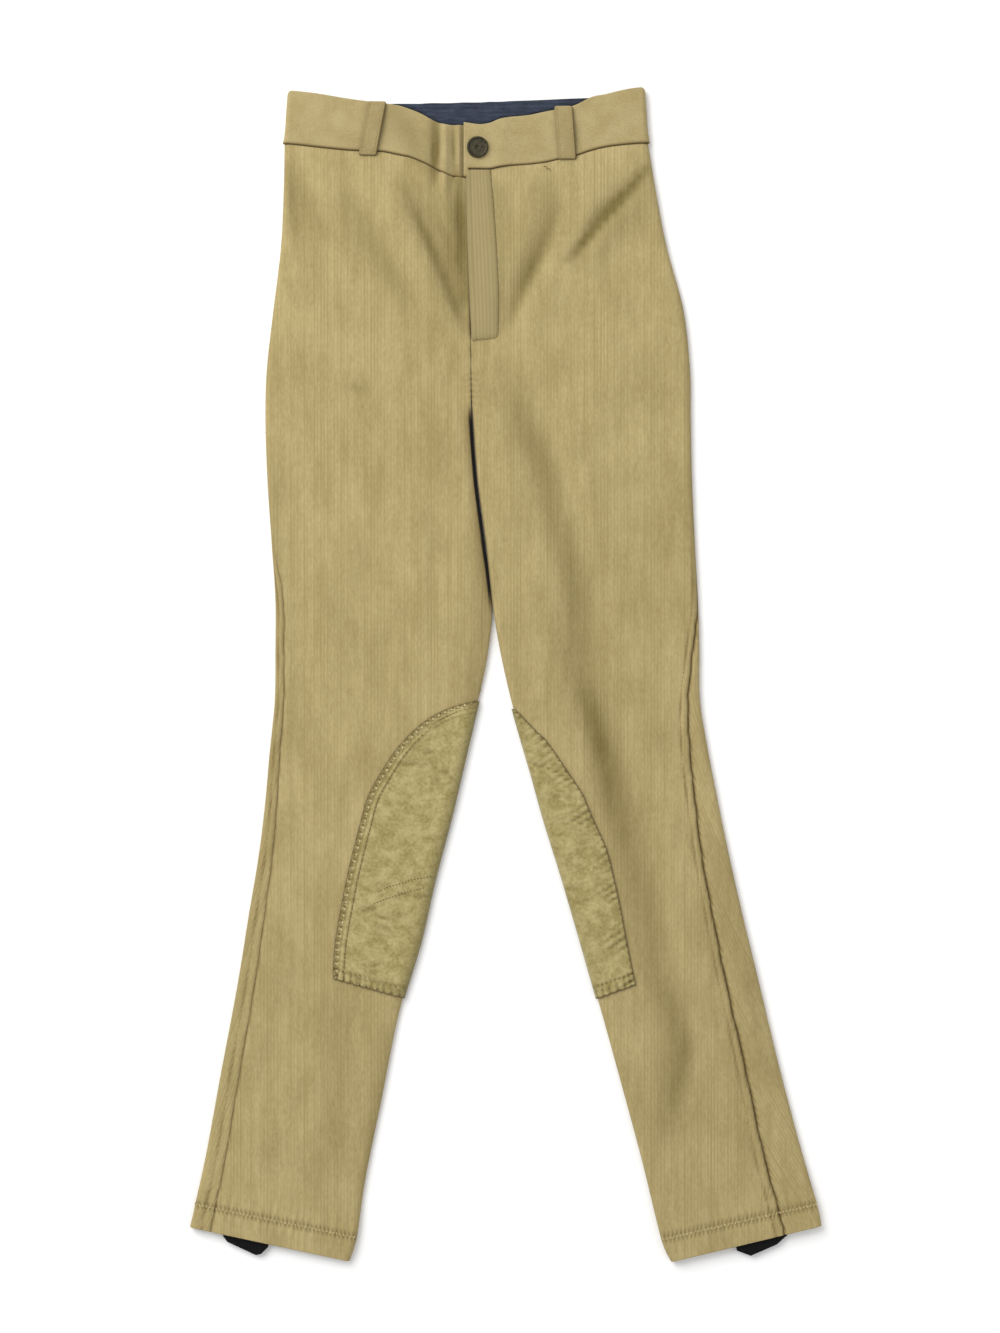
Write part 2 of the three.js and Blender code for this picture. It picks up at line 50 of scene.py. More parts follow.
cameraSet = {
    "pixel": 0.75,               # millimetres to a photo pixel on the cloth
    "photoWidth": 1000,
    "middleX": -4.3,             # the photo's middle, on the surface
    "middleY": 5.8,
    "distance": 2600,
    "sensor": 36,
}
lightSet = {
    "key": {"place": (-1450, 1350, 1950), "size": 2200, "power": 71},
    "fill": {"place": (1500, -700, 1700), "size": 1900, "power": 6},
    "skyStrength": 0.6,
}


def areaLight(name):
    f = lightSet[name]
    data = bpy.data.lights.new(name, "AREA")
    data.energy = f["power"]
    data.size = f["size"] * mm
    lamp = bpy.data.objects.new(name, data)
    lamp.location = Vector(f["place"]) * mm
    lamp.rotation_euler = (-lamp.location).to_track_quat("-Z", "Y").to_euler()
    bpy.context.collection.objects.link(lamp)


def cameraAndLight():
    f = cameraSet
    scene = bpy.context.scene
    data = bpy.data.cameras.new("photoCamera")
    data.sensor_fit = "HORIZONTAL"
    data.sensor_width = f["sensor"]
    data.lens = f["sensor"] * f["distance"] / (f["pixel"] * f["photoWidth"])
    camera = bpy.data.objects.new("photoCamera", data)
    camera.location = Vector((f["middleX"], f["middleY"], f["distance"])) * mm
    bpy.context.collection.objects.link(camera)
    scene.camera = camera
    areaLight("key")
    areaLight("fill")
    world = bpy.data.worlds.new("studio")
    world.use_nodes = True
    sky = world.node_tree.nodes["Background"].inputs
    sky["Color"].default_value = (1, 1, 1, 1)
    sky["Strength"].default_value = lightSet["skyStrength"]
    scene.world = world
    scene.view_settings.view_transform = "Standard"


cameraAndLight()
print("camera and light ready")


# Materials

# SRGB hex to linear
def linear(code):
    parts = [int(code[i:i + 2], 16) / 255 for i in (1, 3, 5)]
    return (*[((c + 0.055) / 1.055) ** 2.4 if c > 0.04045 else c / 12.92 for c in parts], 1)


# Adds a node with its links and settings, and gives one of its outputs
def addNode(tree, kind, output, inputs=None, **settings):
    node = tree.nodes.new("ShaderNode" + kind)
    for key, value in settings.items():
        setattr(node, key, value)
    for key, value in (inputs or {}).items():
        if isinstance(value, bpy.types.NodeSocket):
            tree.links.new(value, node.inputs[key])
        else:
            node.inputs[key].default_value = value
    return node.outputs[output]


def newMaterial(name, roughness, **sockets):
    material = bpy.data.materials.new(name)
    material.use_nodes = True
    shader = material.node_tree.nodes["Principled BSDF"]
    shader.inputs["Roughness"].default_value = roughness
    for key, value in sockets.items():
        shader.inputs[key.replace("_", " ")].default_value = value
    return material, material.node_tree


def finish(material, colour, normal):
    tree = material.node_tree
    shader = tree.nodes["Principled BSDF"]
    tree.links.new(colour, shader.inputs["Base Color"])
    tree.links.new(normal, shader.inputs["Normal"])
    return material


# Noise with grains of a size in millimetres, longer down the cloth by stretch, brought to 0..1
# between low and high
def mottle(tree, place, size, stretch, detail, low, high, seed=0.0):
    scale = 1 / (size * mm)
    turned = addNode(tree, "Mapping", "Vector", {
        "Vector": place, "Scale": (scale, scale / stretch, scale), "Location": (seed, seed, 0)})
    noise = addNode(tree, "TexNoise", "Fac", {
        "Vector": turned, "Scale": 1.0, "Detail": detail, "Roughness": 0.6})
    return addNode(tree, "MapRange", "Result", {
        "Value": noise, "From Min": low, "From Max": high})


# Scale of a wave texture whose bands are spacing millimetres apart
def bandScale(spacing):
    return 2 * math.pi / 20 / (spacing * mm)


# Painted shade, by the sheet's own attributes: cloth darker down in its folds, along its seams (their own
# dark colour with painted shade in their grooves), and a painted black shadow in the cleft
def folded(tree, colour, uneven):
    fold, seam, cleft = (addNode(tree, "Attribute", "Fac", attribute_name=name)
                         for name in ("fold", "seam", "cleft"))
    most = addNode(tree, "Math", 0, {0: uneven, 1: 0.5, 2: 0.75}, operation="MULTIPLY_ADD")
    shade = addNode(tree, "Math", 0, {0: fold, 1: most}, operation="MULTIPLY")
    # painted fold shade, seam colour with painted groove shade, and painted cleft shadow
    for share, dark, how in ((shade, "#b4b197", "MULTIPLY"), (seam, "#56421a", "MIX"),
                             (cleft, "#0a0806", "MIX")):
        colour = addNode(tree, "Mix", 2, {0: share, 6: colour, 7: linear(dark)},
                         data_type="RGBA", blend_type=how)
    return colour


def ribbedCotton(name, light, dark, valleyShade):
    # Stretch cotton woven in fine lengthwise cords, dyed in the piece: matt, a little worn, with
    # soft lengthwise streaks. The cords themselves are in the mesh, drawn coarser than the real
    # 1.5 mm so that they show; their valleys carry a painted shade colour, and their yarns are bump.
    material, tree = newMaterial(
        name, 0.92, Sheen_Weight=0.12, Sheen_Roughness=0.5, Specular_IOR_Level=0.2)
    place = addNode(tree, "TexCoord", "Object")
    streaks = mottle(tree, place, 5.882, 7, 4, 0.36, 0.64)
    patches = mottle(tree, place, 26.316, 1.6, 3, 0.36, 0.66, 3.7)
    cloud = mottle(tree, place, 111.11, 1.2, 2, 0.3, 0.7, 9.1)
    grain = mottle(tree, place, 1.6129, 2.5, 3, 0.34, 0.66, 6.6)
    tone = 0.0
    for part, share in ((cloud, 0.2), (patches, 0.3), (grain, 0.28), (streaks, 0.22)):
        tone = addNode(tree, "Math", 0, {0: part, 1: share, 2: tone}, operation="MULTIPLY_ADD")
    colour = addNode(tree, "Mix", 2, {0: tone, 6: linear(dark), 7: linear(light)}, data_type="RGBA")
    # painted shade: the cord valleys take the darker valley colour
    crest = addNode(tree, "Attribute", "Fac", attribute_name="rib")
    colour = addNode(tree, "Mix", 2, {0: crest, 6: linear(valleyShade), 7: colour}, data_type="RGBA")
    yarns = addNode(tree, "TexWave", "Fac", {
        "Vector": place, "Scale": bandScale(0.748), "Distortion": 5.0, "Detail": 2.0,
        "Detail Scale": 1.5}, bands_direction="Y")
    fuzz = addNode(tree, "TexNoise", "Fac", {"Vector": place, "Scale": 1 / (0.5263 * mm), "Detail": 3.0})
    normal = addNode(tree, "Bump", "Normal", {
        "Height": yarns, "Distance": 0.12 * mm, "Strength": 0.5})
    normal = addNode(tree, "Bump", "Normal", {
        "Height": fuzz, "Distance": 0.14 * mm, "Strength": 0.6, "Normal": normal})
    return finish(material, folded(tree, colour, patches), normal)


def bandTwill(name, light, dark):
    # The same dye on a smooth close twill: matt, plain, with faint cloudy shade
    material, tree = newMaterial(
        name, 0.9, Sheen_Weight=0.12, Sheen_Roughness=0.5, Specular_IOR_Level=0.2)
    place = addNode(tree, "TexCoord", "Object")
    patches = mottle(tree, place, 16.667, 1.0, 4, 0.34, 0.66, 1.3)
    grain = mottle(tree, place, 1.4286, 1.0, 3, 0.3, 0.7, 5.0)
    tone = 0.0
    for part in (patches, grain):
        tone = addNode(tree, "Math", 0, {0: part, 1: 0.5, 2: tone}, operation="MULTIPLY_ADD")
    colour = addNode(tree, "Mix", 2, {0: tone, 6: linear(dark), 7: linear(light)}, data_type="RGBA")
    turned = addNode(tree, "Mapping", "Vector", {
        "Vector": place, "Rotation": (0, 0, math.radians(58))})
    twill = addNode(tree, "TexWave", "Fac", {
        "Vector": turned, "Scale": bandScale(0.952), "Distortion": 1.5, "Detail": 1.0})
    normal = addNode(tree, "Bump", "Normal", {
        "Height": twill, "Distance": 0.1 * mm, "Strength": 0.5})
    normal = addNode(tree, "Bump", "Normal", {
        "Height": grain, "Distance": 0.1 * mm, "Strength": 0.5, "Normal": normal})
    return finish(material, folded(tree, colour, patches), normal)


def nappedSuede():
    # Split hide with the nap up: no gloss, cloudy where the nap lies over, greener than the cloth
    material, tree = newMaterial(
        "nappedSuede", 1.0, Sheen_Weight=0.25, Sheen_Roughness=0.6, Specular_IOR_Level=0.1)
    place = addNode(tree, "TexCoord", "Object")
    nap = mottle(tree, place, 2.381, 1.0, 5, 0.36, 0.64)
    clouds = mottle(tree, place, 9.091, 1.0, 4, 0.38, 0.62, 4.4)
    fibre = mottle(tree, place, 0.7692, 1.4, 3, 0.3, 0.7, 2.0)
    lying = addNode(tree, "Mix", 2, {
        0: clouds, 6: linear("#897c47"), 7: linear("#b4a774")}, data_type="RGBA")
    standing = addNode(tree, "Mix", 2, {
        0: nap, 6: linear("#8a7d49"), 7: linear("#b4a774")}, data_type="RGBA")
    colour = addNode(tree, "Mix", 2, {0: 0.45, 6: lying, 7: standing}, data_type="RGBA")
    normal = addNode(tree, "Bump", "Normal", {
        "Height": nap, "Distance": 0.2 * mm, "Strength": 0.5})
    normal = addNode(tree, "Bump", "Normal", {
        "Height": fibre, "Distance": 0.2 * mm, "Strength": 0.7, "Normal": normal})
    return finish(material, folded(tree, colour, clouds), normal)


def navyFacing():
    # Close navy ribbed facing, slightly worn, with cross ribs; a painted shadow darkens it where the
    # front band lies over it
    material, tree = newMaterial(
        "navyFacing", 0.85, Sheen_Weight=0.2, Sheen_Roughness=0.5, Specular_IOR_Level=0.25)
    place = addNode(tree, "TexCoord", "Object")
    clouds = mottle(tree, place, 8.333, 0.3, 4, 0.34, 0.66)
    colour = addNode(tree, "Mix", 2, {
        0: clouds, 6: linear("#252b38"), 7: linear("#353d4d")}, data_type="RGBA")
    # painted shadow of the front band's top edge
    bandShadow = addNode(tree, "Attribute", "Fac", attribute_name="seam")
    colour = addNode(tree, "Mix", 2, {0: bandShadow, 6: colour, 7: linear("#0b0e15")}, data_type="RGBA")
    ribs = addNode(tree, "TexWave", "Fac", {
        "Vector": place, "Scale": bandScale(3.206), "Distortion": 0.6, "Detail": 2.0},
        bands_direction="Y")
    return finish(material, colour, addNode(tree, "Bump", "Normal", {
        "Height": ribs, "Distance": 0.3 * mm, "Strength": 0.8}))


def antiqueBrass():
    # Stamped brass, darkened and lacquered, rubbed paler where it stands proud
    material, tree = newMaterial("antiqueBrass", 0.55, Metallic=0.8)
    place = addNode(tree, "TexCoord", "Object")
    wear = mottle(tree, place, 1.111, 1.0, 4, 0.4, 0.65)
    colour = addNode(tree, "Mix", 2, {
        0: wear, 6: linear("#343024"), 7: linear("#4c4837")}, data_type="RGBA")
    return finish(material, colour, addNode(tree, "Bump", "Normal", {
        "Height": wear, "Distance": 0.04 * mm, "Strength": 0.4}))


def blackElastic():
    # Woven elastic: black, with lengthwise cords and a slight shine
    material, tree = newMaterial("blackElastic", 0.8, Sheen_Weight=0.03, Specular_IOR_Level=0.15)
    place = addNode(tree, "TexCoord", "Object")
    clouds = mottle(tree, place, 3.333, 1.0, 3, 0.34, 0.66)
    colour = addNode(tree, "Mix", 2, {
        0: clouds, 6: linear("#060606"), 7: linear("#0f0f0f")}, data_type="RGBA")
    cords = addNode(tree, "TexWave", "Fac", {
        "Vector": place, "Scale": bandScale(2.417), "Distortion": 0.8})
    return finish(material, colour, addNode(tree, "Bump", "Normal", {
        "Height": cords, "Distance": 0.2 * mm, "Strength": 0.8}))


def spunThread(name, light, dark):
    # Polyester sewing thread: two plies, a faint shine
    material, tree = newMaterial(name, 0.6, Specular_IOR_Level=0.4)
    place = addNode(tree, "TexCoord", "Object")
    tone = mottle(tree, place, 2.0, 1.0, 2, 0.34, 0.66)
    colour = addNode(tree, "Mix", 2, {0: tone, 6: linear(dark), 7: linear(light)}, data_type="RGBA")
    plies = addNode(tree, "TexWave", "Fac", {
        "Vector": place, "Scale": bandScale(0.4488), "Distortion": 0.5}, bands_direction="DIAGONAL")
    return finish(material, colour, addNode(tree, "Bump", "Normal", {
        "Height": plies, "Distance": 0.05 * mm, "Strength": 0.6}))


def paleFloor():
    # Matt paper, nearly white
    return newMaterial("paleFloor", 0.9, Specular_IOR_Level=0.1, Base_Color=(0.98, 0.98, 0.977, 1))[0]


materials = {
    "cloth": ribbedCotton("ribbedCotton", "#bdac7c", "#907f51", "#988758"),
    "fly": ribbedCotton("ribbedCottonFly", "#a6976c", "#94855b", "#928359"),
    "band": bandTwill("bandTwill", "#b0a074", "#98875a"),
    "suede": nappedSuede(),
    "navy": navyFacing(),
    "brass": antiqueBrass(),
    "elastic": blackElastic(),
    "thread": spunThread("beigeThread", "#a8955f", "#877443"),
    "loop": bandTwill("bandTwillLoop", "#a39368", "#8d7d53"),
    "paleThread": spunThread("paleThread", "#cebe8e", "#ae9e6b"),
    "navyThread": spunThread("navyThread", "#3a4150", "#20242e"),
    # dark thread, also drawn as dark dots for the painted shade in needle holes
    "threadAndHoleShade": spunThread("brownThreadAndHoleShade", "#75633a", "#584823"),
    "tape": bandTwill("zipTapeCloth", "#b3a375", "#95855b"),
    "floor": paleFloor(),
}
print("materials ready")


# The garment's form

def table(names, rows):
    values = np.array(rows, float)
    return {key: values[:, i] for i, key in enumerate(names.split())}


legForm = {
    "restHeight": 6.0, "waistRise": 0.6, "waistRiseFrom": 300, "waistRiseTo": 385,
    "hemRise": 1.3, "hemRow": 18, "edgeRow": 19, "hemRiseRows": 0.8, "edgeDepth": 4.5,
    "backRound": 3, "crotchRow": 5, "crotchBlend": 0.35, "slackRows": 2, "seamGap": 0.34,
    "lowest": 2.9, "normalStep": 0.05,
}
rightLeg = table("outerX outerY innerX innerY seamIn innerRound", [
    [-165.5, 397.0, -27.0, 391.0, 0, 3],
    [-166.5, 355.5, -27.0, 352.0, 0, 3],
    [-168.5, 318.0, -27.0, 314.5, 0, 3],
    [-174.0, 273.0, -26.5, 271.5, 0, 3],
    [-179.0, 228.0, -26.0, 228.0, 0, 3],
    [-180.0, 190.5, -25.5, 196.5, 0, 6],
    [-178.5, 145.5, -21.8, 145.5, 0, 10],
    [-175.5, 100.5, -15.6, 97.0, 2, 10],
    [-172.5, 55.5, -10.4, 52.0, 6, 9],
    [-172.5, 18.0, -14.0, 12.0, 6.5, 7],
    [-173.0, -19.5, -23.0, -28.5, 7, 7],
    [-177.0, -60.5, -33.5, -73.5, 8, 7],
    [-180.0, -94.5, -42.0, -109.5, 9, 7],
    [-185.0, -135.5, -53.5, -153.0, 10.5, 7],
    [-192.5, -180.5, -64.5, -201.0, 12, 7],
    [-201.0, -233.0, -80.0, -253.5, 13, 7],
    [-213.0, -297.0, -93.0, -318.0, 14, 6],
    [-224.0, -357.0, -105.5, -379.5, 15, 6],
    [-232.5, -396.5, -111.5, -421.5, 15.5, 5],
    [-236.5, -414.0, -117.0, -439.5, 16, 5],
])
leftLeg = table("outerX outerY innerX innerY seamIn innerRound", [
    [106.5, 397.5, -27.0, 391.0, 0, 3],
    [113.5, 355.5, -27.0, 352.0, 0, 3],
    [121.0, 318.0, -27.0, 314.5, 0, 3],
    [133.0, 273.0, -26.5, 271.5, 0, 3],
    [138.0, 228.0, -26.0, 228.0, 0, 3],
    [138.5, 190.5, -25.0, 196.5, 0, 3],
    [139.5, 145.5, -21.3, 145.5, 0, 3],
    [141.5, 100.5, -15.0, 97.0, 0, 3],
    [144.0, 55.5, -9.9, 52.0, 1, 3],
    [145.0, 18.0, -3.0, 12.0, 5, 3],
    [145.5, -19.5, 6.5, -28.5, 9, 3],
    [151.5, -57.0, 19.5, -73.5, 13.5, 3],
    [158.0, -90.5, 29.5, -109.5, 16.5, 3],
    [166.5, -132.0, 43.0, -153.0, 20, 3],
    [177.0, -178.5, 57.0, -201.0, 22, 3],
    [189.0, -228.0, 72.5, -255.5, 24, 3],
    [204.5, -292.5, 89.0, -315.5, 25, 3],
    [219.5, -349.5, 103.0, -368.0, 28, 3],
    [233.0, -396.5, 116.5, -423.0, 29, 3],
    [236.5, -413.0, 124.0, -440.0, 28.5, 3],
])
rightWaist = table("x backTop frontTop frontSeam", [
    [-165.5, 437, 437, 397],
    [-141, 434.5, 434.5, 394.5],
    [-116, 430.5, 430.5, 392],
    [-91.5, 427.5, 427.5, 391],
    [-79.5, 427.5, 425.5, 388.5],
    [-72, 427.5, 423, 387],
    [-64.5, 427.5, 420, 384],
    [-57, 428, 416, 380.5],
    [-49.5, 428, 412.5, 376.5],
    [-42, 428, 411, 373],
    [-32, 428.5, 411, 371.5],
    [-8, 429, 411, 371.5],
])
leftWaist = table("x backTop frontTop frontSeam", [
    [-32, 428.5, 413, 378],
    [-19.5, 428.5, 411.5, 378],
    [-12, 429, 412.5, 378],
    [-4.5, 429, 415.5, 379.5],
    [3, 429.5, 417, 380.5],
    [18, 430, 418.5, 381.5],
    [29.5, 430.5, 421, 383],
    [40.5, 431, 423, 385.5],
    [52, 431.5, 426, 388],
    [64.5, 432, 432, 392],
    [74.5, 434, 434, 394.5],
    [85.5, 436.5, 436.5, 396],
    [96, 438.5, 438.5, 397],
    [106.5, 439.5, 439.5, 397.5],
])
# Creases through three places; a negative depth is a trough, with its sides raised by shoulder
creases = table("x1 y1 x2 y2 x3 y3 depth half shoulder", [
    [-163, 383, -154, 359, -132, 322, -1.0, 9, 0.4],
    [-128, 363, -102, 325, -66, 271, -0.9, 12, 0.5],
    [-64, 371, -60, 337, -29, 267, -1.7, 9, 0.5],
    [108, 380, 78, 353, 46, 316, -1.5, 8, 0.5],
    [45, 353, 22, 318, 6, 267, -1.3, 10, 0.4],
    [13, 207, 20, 168, 51, 72, -0.8, 14, 0.4],
    [51, 74, 69, -12, 100, -132, -0.9, 16, 0.5],
    [70, -64, 94, -132, 117, -233, -0.8, 13, 0.4],
    [112, -214, 132, -274, 118, -330, -0.8, 14, 0.4],
    [-160, 175, -158, 85, -155, -64, -0.6, 9, 0.4],
])
crumples = table("x1 y1 x2 y2 x3 y3 depth half shoulder", [
    [-53, 421, -52, 400, -53, 366, -1.8, 4.5, 0.3],
    [-46, 419, -45.4, 398, -46, 364, 2.3, 3.2, 0],
    [-40, 417, -39.5, 398, -40, 368, -0.8, 2.4, 0],
    [-35.2, 415, -35, 396, -35, 374, 1.5, 2.4, 0],
])
# Slighter creases that only the cloth's surface shows
fineCreases = table("x1 y1 x2 y2 x3 y3 depth half shoulder", [
    [-80, 384, -61, 340, -26, 254, -1.5, 7, 0.5],
    [-66, 374, -55, 344, -40, 316, -0.8, 5, 0.2],
    [-49.8, 418, -49.4, 398, -50, 376, -0.9, 1.4, 0.3],
    [-38.9, 412, -38.9, 395, -38.6, 380, -0.8, 1.0, 0.3],
    [-57, 366, -50, 340, -42, 318, -0.8, 3.5, 0.3],
    [-44, 364, -41, 344, -35, 322, 0.7, 4, 0.2],
    [-34, 372, -32, 330, -28, 258, -2.2, 12, 0.0],
    [-132, 380, -98, 318, -62, 262, -0.9, 11, 0.5],
    [-160, 386, -138, 334, -100, 290, -0.8, 9, 0.5],
    [-160, 372, -157, 345, -150, 318, -0.6, 4, 0.3],
    [-112, 380, -90, 356, -74, 330, 0.6, 7, 0.2],
    [104, 370, 74, 346, 50, 308, -1.3, 4.5, 0.7],
    [100, 352, 76, 326, 56, 292, 0.9, 8, 0.1],
    [-2, 372, 4, 345, 14, 322, -1.0, 8, 0.3],
    [36, 330, 14, 298, -4, 258, -1.0, 6, 0.5],
    [62, 300, 40, 270, 16, 236, -0.4, 8, 0.4],
    [-40, 252, -52, 236, -74, 222, -0.35, 6, 0.5],
    [-38, 240, -46, 214, -60, 186, -0.3, 6, 0.5],
    [-12, 240, 6, 222, 30, 208, -0.3, 6, 0.5],
    [-14, 224, 0, 196, 14, 160, -0.3, 7, 0.5],
    [-120, 218, -110, 214, -98, 210, -0.6, 7, 0.2],
    [10, 206, 26, 164, 46, 120, -0.7, 9, 0.3],
    [-112, 150, -100, 60, -104, -30, -0.3, 22, 0.5],
    [-140, -150, -160, -240, -176, -330, -0.4, 16, 0.5],
    [-60, 60, -70, -10, -90, -60, 0.5, 22, 0.2],
    [40, 250, 70, 180, 88, 90, 0.6, 24, 0.2],
    [50, 96, 56, -6, 84, -110, -1.3, 13, 0.4],
    [76, -80, 98, -150, 118, -250, -0.8, 12, 0.4],
    [150, -160, 168, -230, 186, -300, -0.4, 12, 0.5],
    [92, -260, 110, -330, 132, -400, 0.4, 14, 0.2],
])
# Where the cloth lies in shade: the share and reach of each soft dark line
shades = table("x1 y1 x2 y2 x3 y3 depth half shoulder", [
    [-36, 382, -35, 345, -29, 276, 0.75, 6, 0],
    [-54, 378, -47, 345, -34, 296, 0.4, 7, 0],
    [-82, 374, -56, 318, -28, 250, 0.5, 4, 0],
    [-166, 388, -138, 336, -98, 292, 0.12, 7, 0],
    [-166, 380, -158, 340, -152, 300, 0.25, 5, 0],
    [-130, 372, -98, 318, -62, 262, 0.1, 9, 0],
    [110, 384, 81, 350, 44, 308, 0.85, 3.4, 0],
    [112, 378, 83, 345, 50, 302, 0.3, 10, 0],
    [34, 376, 25, 330, 10, 284, 0.3, 10, 0],
    [42, 356, 22, 308, -4, 252, 0.4, 4.5, 0],
    [-8, 372, -4, 330, -3, 258, 0.35, 4, 0],
    [2, 222, 28, 158, 56, 40, 0.3, 10, 0],
    [46, 120, 56, -4, 90, -106, 0.24, 11, 0],
    [60, -6, 96, -130, 120, -246, 0.26, 12, 0],
    [57, -6, 76, -81, 89, -150, 0.22, 8, 0],
    [118, -222, 134, -280, 120, -352, 0.32, 8, 0],
    [112, -226, 126, -280, 116, -360, 0.26, 14, 0],
    [150, -120, 176, -210, 204, -320, 0.25, 8, 0],
    [-118, 217, -111, 214, -102, 212, 0.3, 3.5, 0],
    [-174, 180, -174, 60, -178, -100, 0.35, 6, 0],
    [-178, -60, -196, -200, -226, -360, 0.3, 7, 0],
    [-132, -232, -126, -290, -130, -380, 0.25, 11, 0],
    [134, 300, 142, 180, 142, 40, 0.35, 6, 0],
    [-22, 120, -18, 40, -36, -70, 0.35, 6, 0],
    [-88, -260, -100, -340, -112, -430, 0.3, 6, 0],
    [-88, 428, -69, 402, -60, 372, 0.42, 10, 0],
    [-53.5, 426, -53, 400, -54, 366, 0.6, 2.6, 0],
    [-38, 416, -38, 396, -38, 366, 0.4, 2.0, 0],
])
legs = {"right": rightLeg, "left": leftLeg}
waists = {"right": rightWaist, "left": leftWaist}
surfaceWaves = {
    "height": 0.16, "lengths": (83, 47, 31), "turns": (0.4, 2.1, 1.2), "slow": 0.6, "bend": 1.7,
    "troughShade": 0.15,
}


def smooth(value):
    value = np.clip(value, 0, 1)
    return value * value * (3 - 2 * value)


def mix(a, b, share):
    return a + (b - a) * share


# 1 at no distance, falling away past half
def bell(distance, half):
    return np.exp(-((distance / half) ** 2))


# Sine along a distance, with a wave's length
def sine(distance, length, turn=0.0):
    return np.sin(2 * np.pi * distance / length + turn)


# Smooth curve through a table's rows, at row numbers that need not be whole
def along(rows, key, place):
    values = rows[key]
    last = len(values) - 1
    place = np.asarray(place, float)
    i = np.clip(np.floor(place).astype(int), 0, last - 1)
    f = place - i
    a, b, c, d = (values[np.clip(i + n, 0, last)] for n in (-1, 0, 1, 2))
    return b + 0.5 * f * (c - a + f * (2 * a - 5 * b + 4 * c - d + f * (3 * (b - c) + d - a)))


def across(rows, key, x):
    return along(rows, key, np.interp(x, rows["x"], np.arange(len(rows["x"]))))


# Height that a table of creases adds
def creaseHeight(rows, x, y):
    x, y = np.broadcast_arrays(x, y)
    total = np.zeros(x.shape)
    for n in range(len(rows["depth"])):
        c = {key: values[n] for key, values in rows.items()}
        ends = [(c["x1"], c["y1"]), (c["x2"], c["y2"]), (c["x3"], c["y3"])]
        lengths = [math.dist(ends[0], ends[1]), math.dist(ends[1], ends[2])]
        nearest = np.full(total.shape, np.inf)
        place = np.zeros(total.shape)
        for k in (0, 1):
            (ax, ay), (bx, by) = ends[k], ends[k + 1]
            share = np.clip(((x - ax) * (bx - ax) + (y - ay) * (by - ay)) / lengths[k] ** 2, 0, 1)
            distance = np.hypot(x - mix(ax, bx, share), y - mix(ay, by, share))
            closer = distance < nearest
            nearest = np.where(closer, distance, nearest)
            there = (share * lengths[k] + k * lengths[0]) / sum(lengths)
            place = np.where(closer, there, place)
        q = nearest / c["half"]
        beside = np.exp(-((q - 2) ** 2)) * c["shoulder"]
        taper = np.sqrt(np.sin(np.pi * np.clip(place, 0, 1)))
        total = total + c["depth"] * (np.exp(-(q ** 2)) - beside) * taper
    return total


# Top of the front cloth
def clothHeight(x, y):
    low, high = legForm["waistRiseFrom"], legForm["waistRiseTo"]
    rise = legForm["waistRise"] * smooth((y - low) / (high - low))
    return legForm["restHeight"] + rise + creaseHeight(creases, x, y) + creaseHeight(crumples, x, y)


# Slight creases and a slow unevenness, as in cloth that has been worn
def fineHeight(x, y):
    f = surfaceWaves
    total = creaseHeight(fineCreases, x, y)
    for length, turn in zip(f["lengths"], f["turns"]):
        u = x * math.cos(turn) + y * math.sin(turn) * f["slow"]
        v = -x * math.sin(turn) + y * math.cos(turn) * f["slow"]
        ripple = sine(u, length, f["bend"] * sine(v, length * f["bend"]))
        total = total + f["height"] * ripple * length / f["lengths"][0]
    return total


def surfaceHeight(x, y):
    return np.maximum(clothHeight(x, y) + fineHeight(x, y), legForm["lowest"])


def foldShade(x, y):
    relief = sum(creaseHeight(rows, x, y) for rows in (creases, crumples, fineCreases))
    shade = creaseHeight(shades, x, y)
    return np.clip(shade + surfaceWaves["troughShade"] * np.maximum(-relief, 0), 0, 1)


# Length of a quarter ellipse
def quarterArc(a, b):
    return (math.pi / 2) * np.sqrt((a * a + b * b) / 2)


# Drop of a rounded edge, at a distance in from it
def rolled(distance, radius):
    near = np.clip(radius - distance, 0, radius)
    return radius - np.sqrt(radius ** 2 - near ** 2)


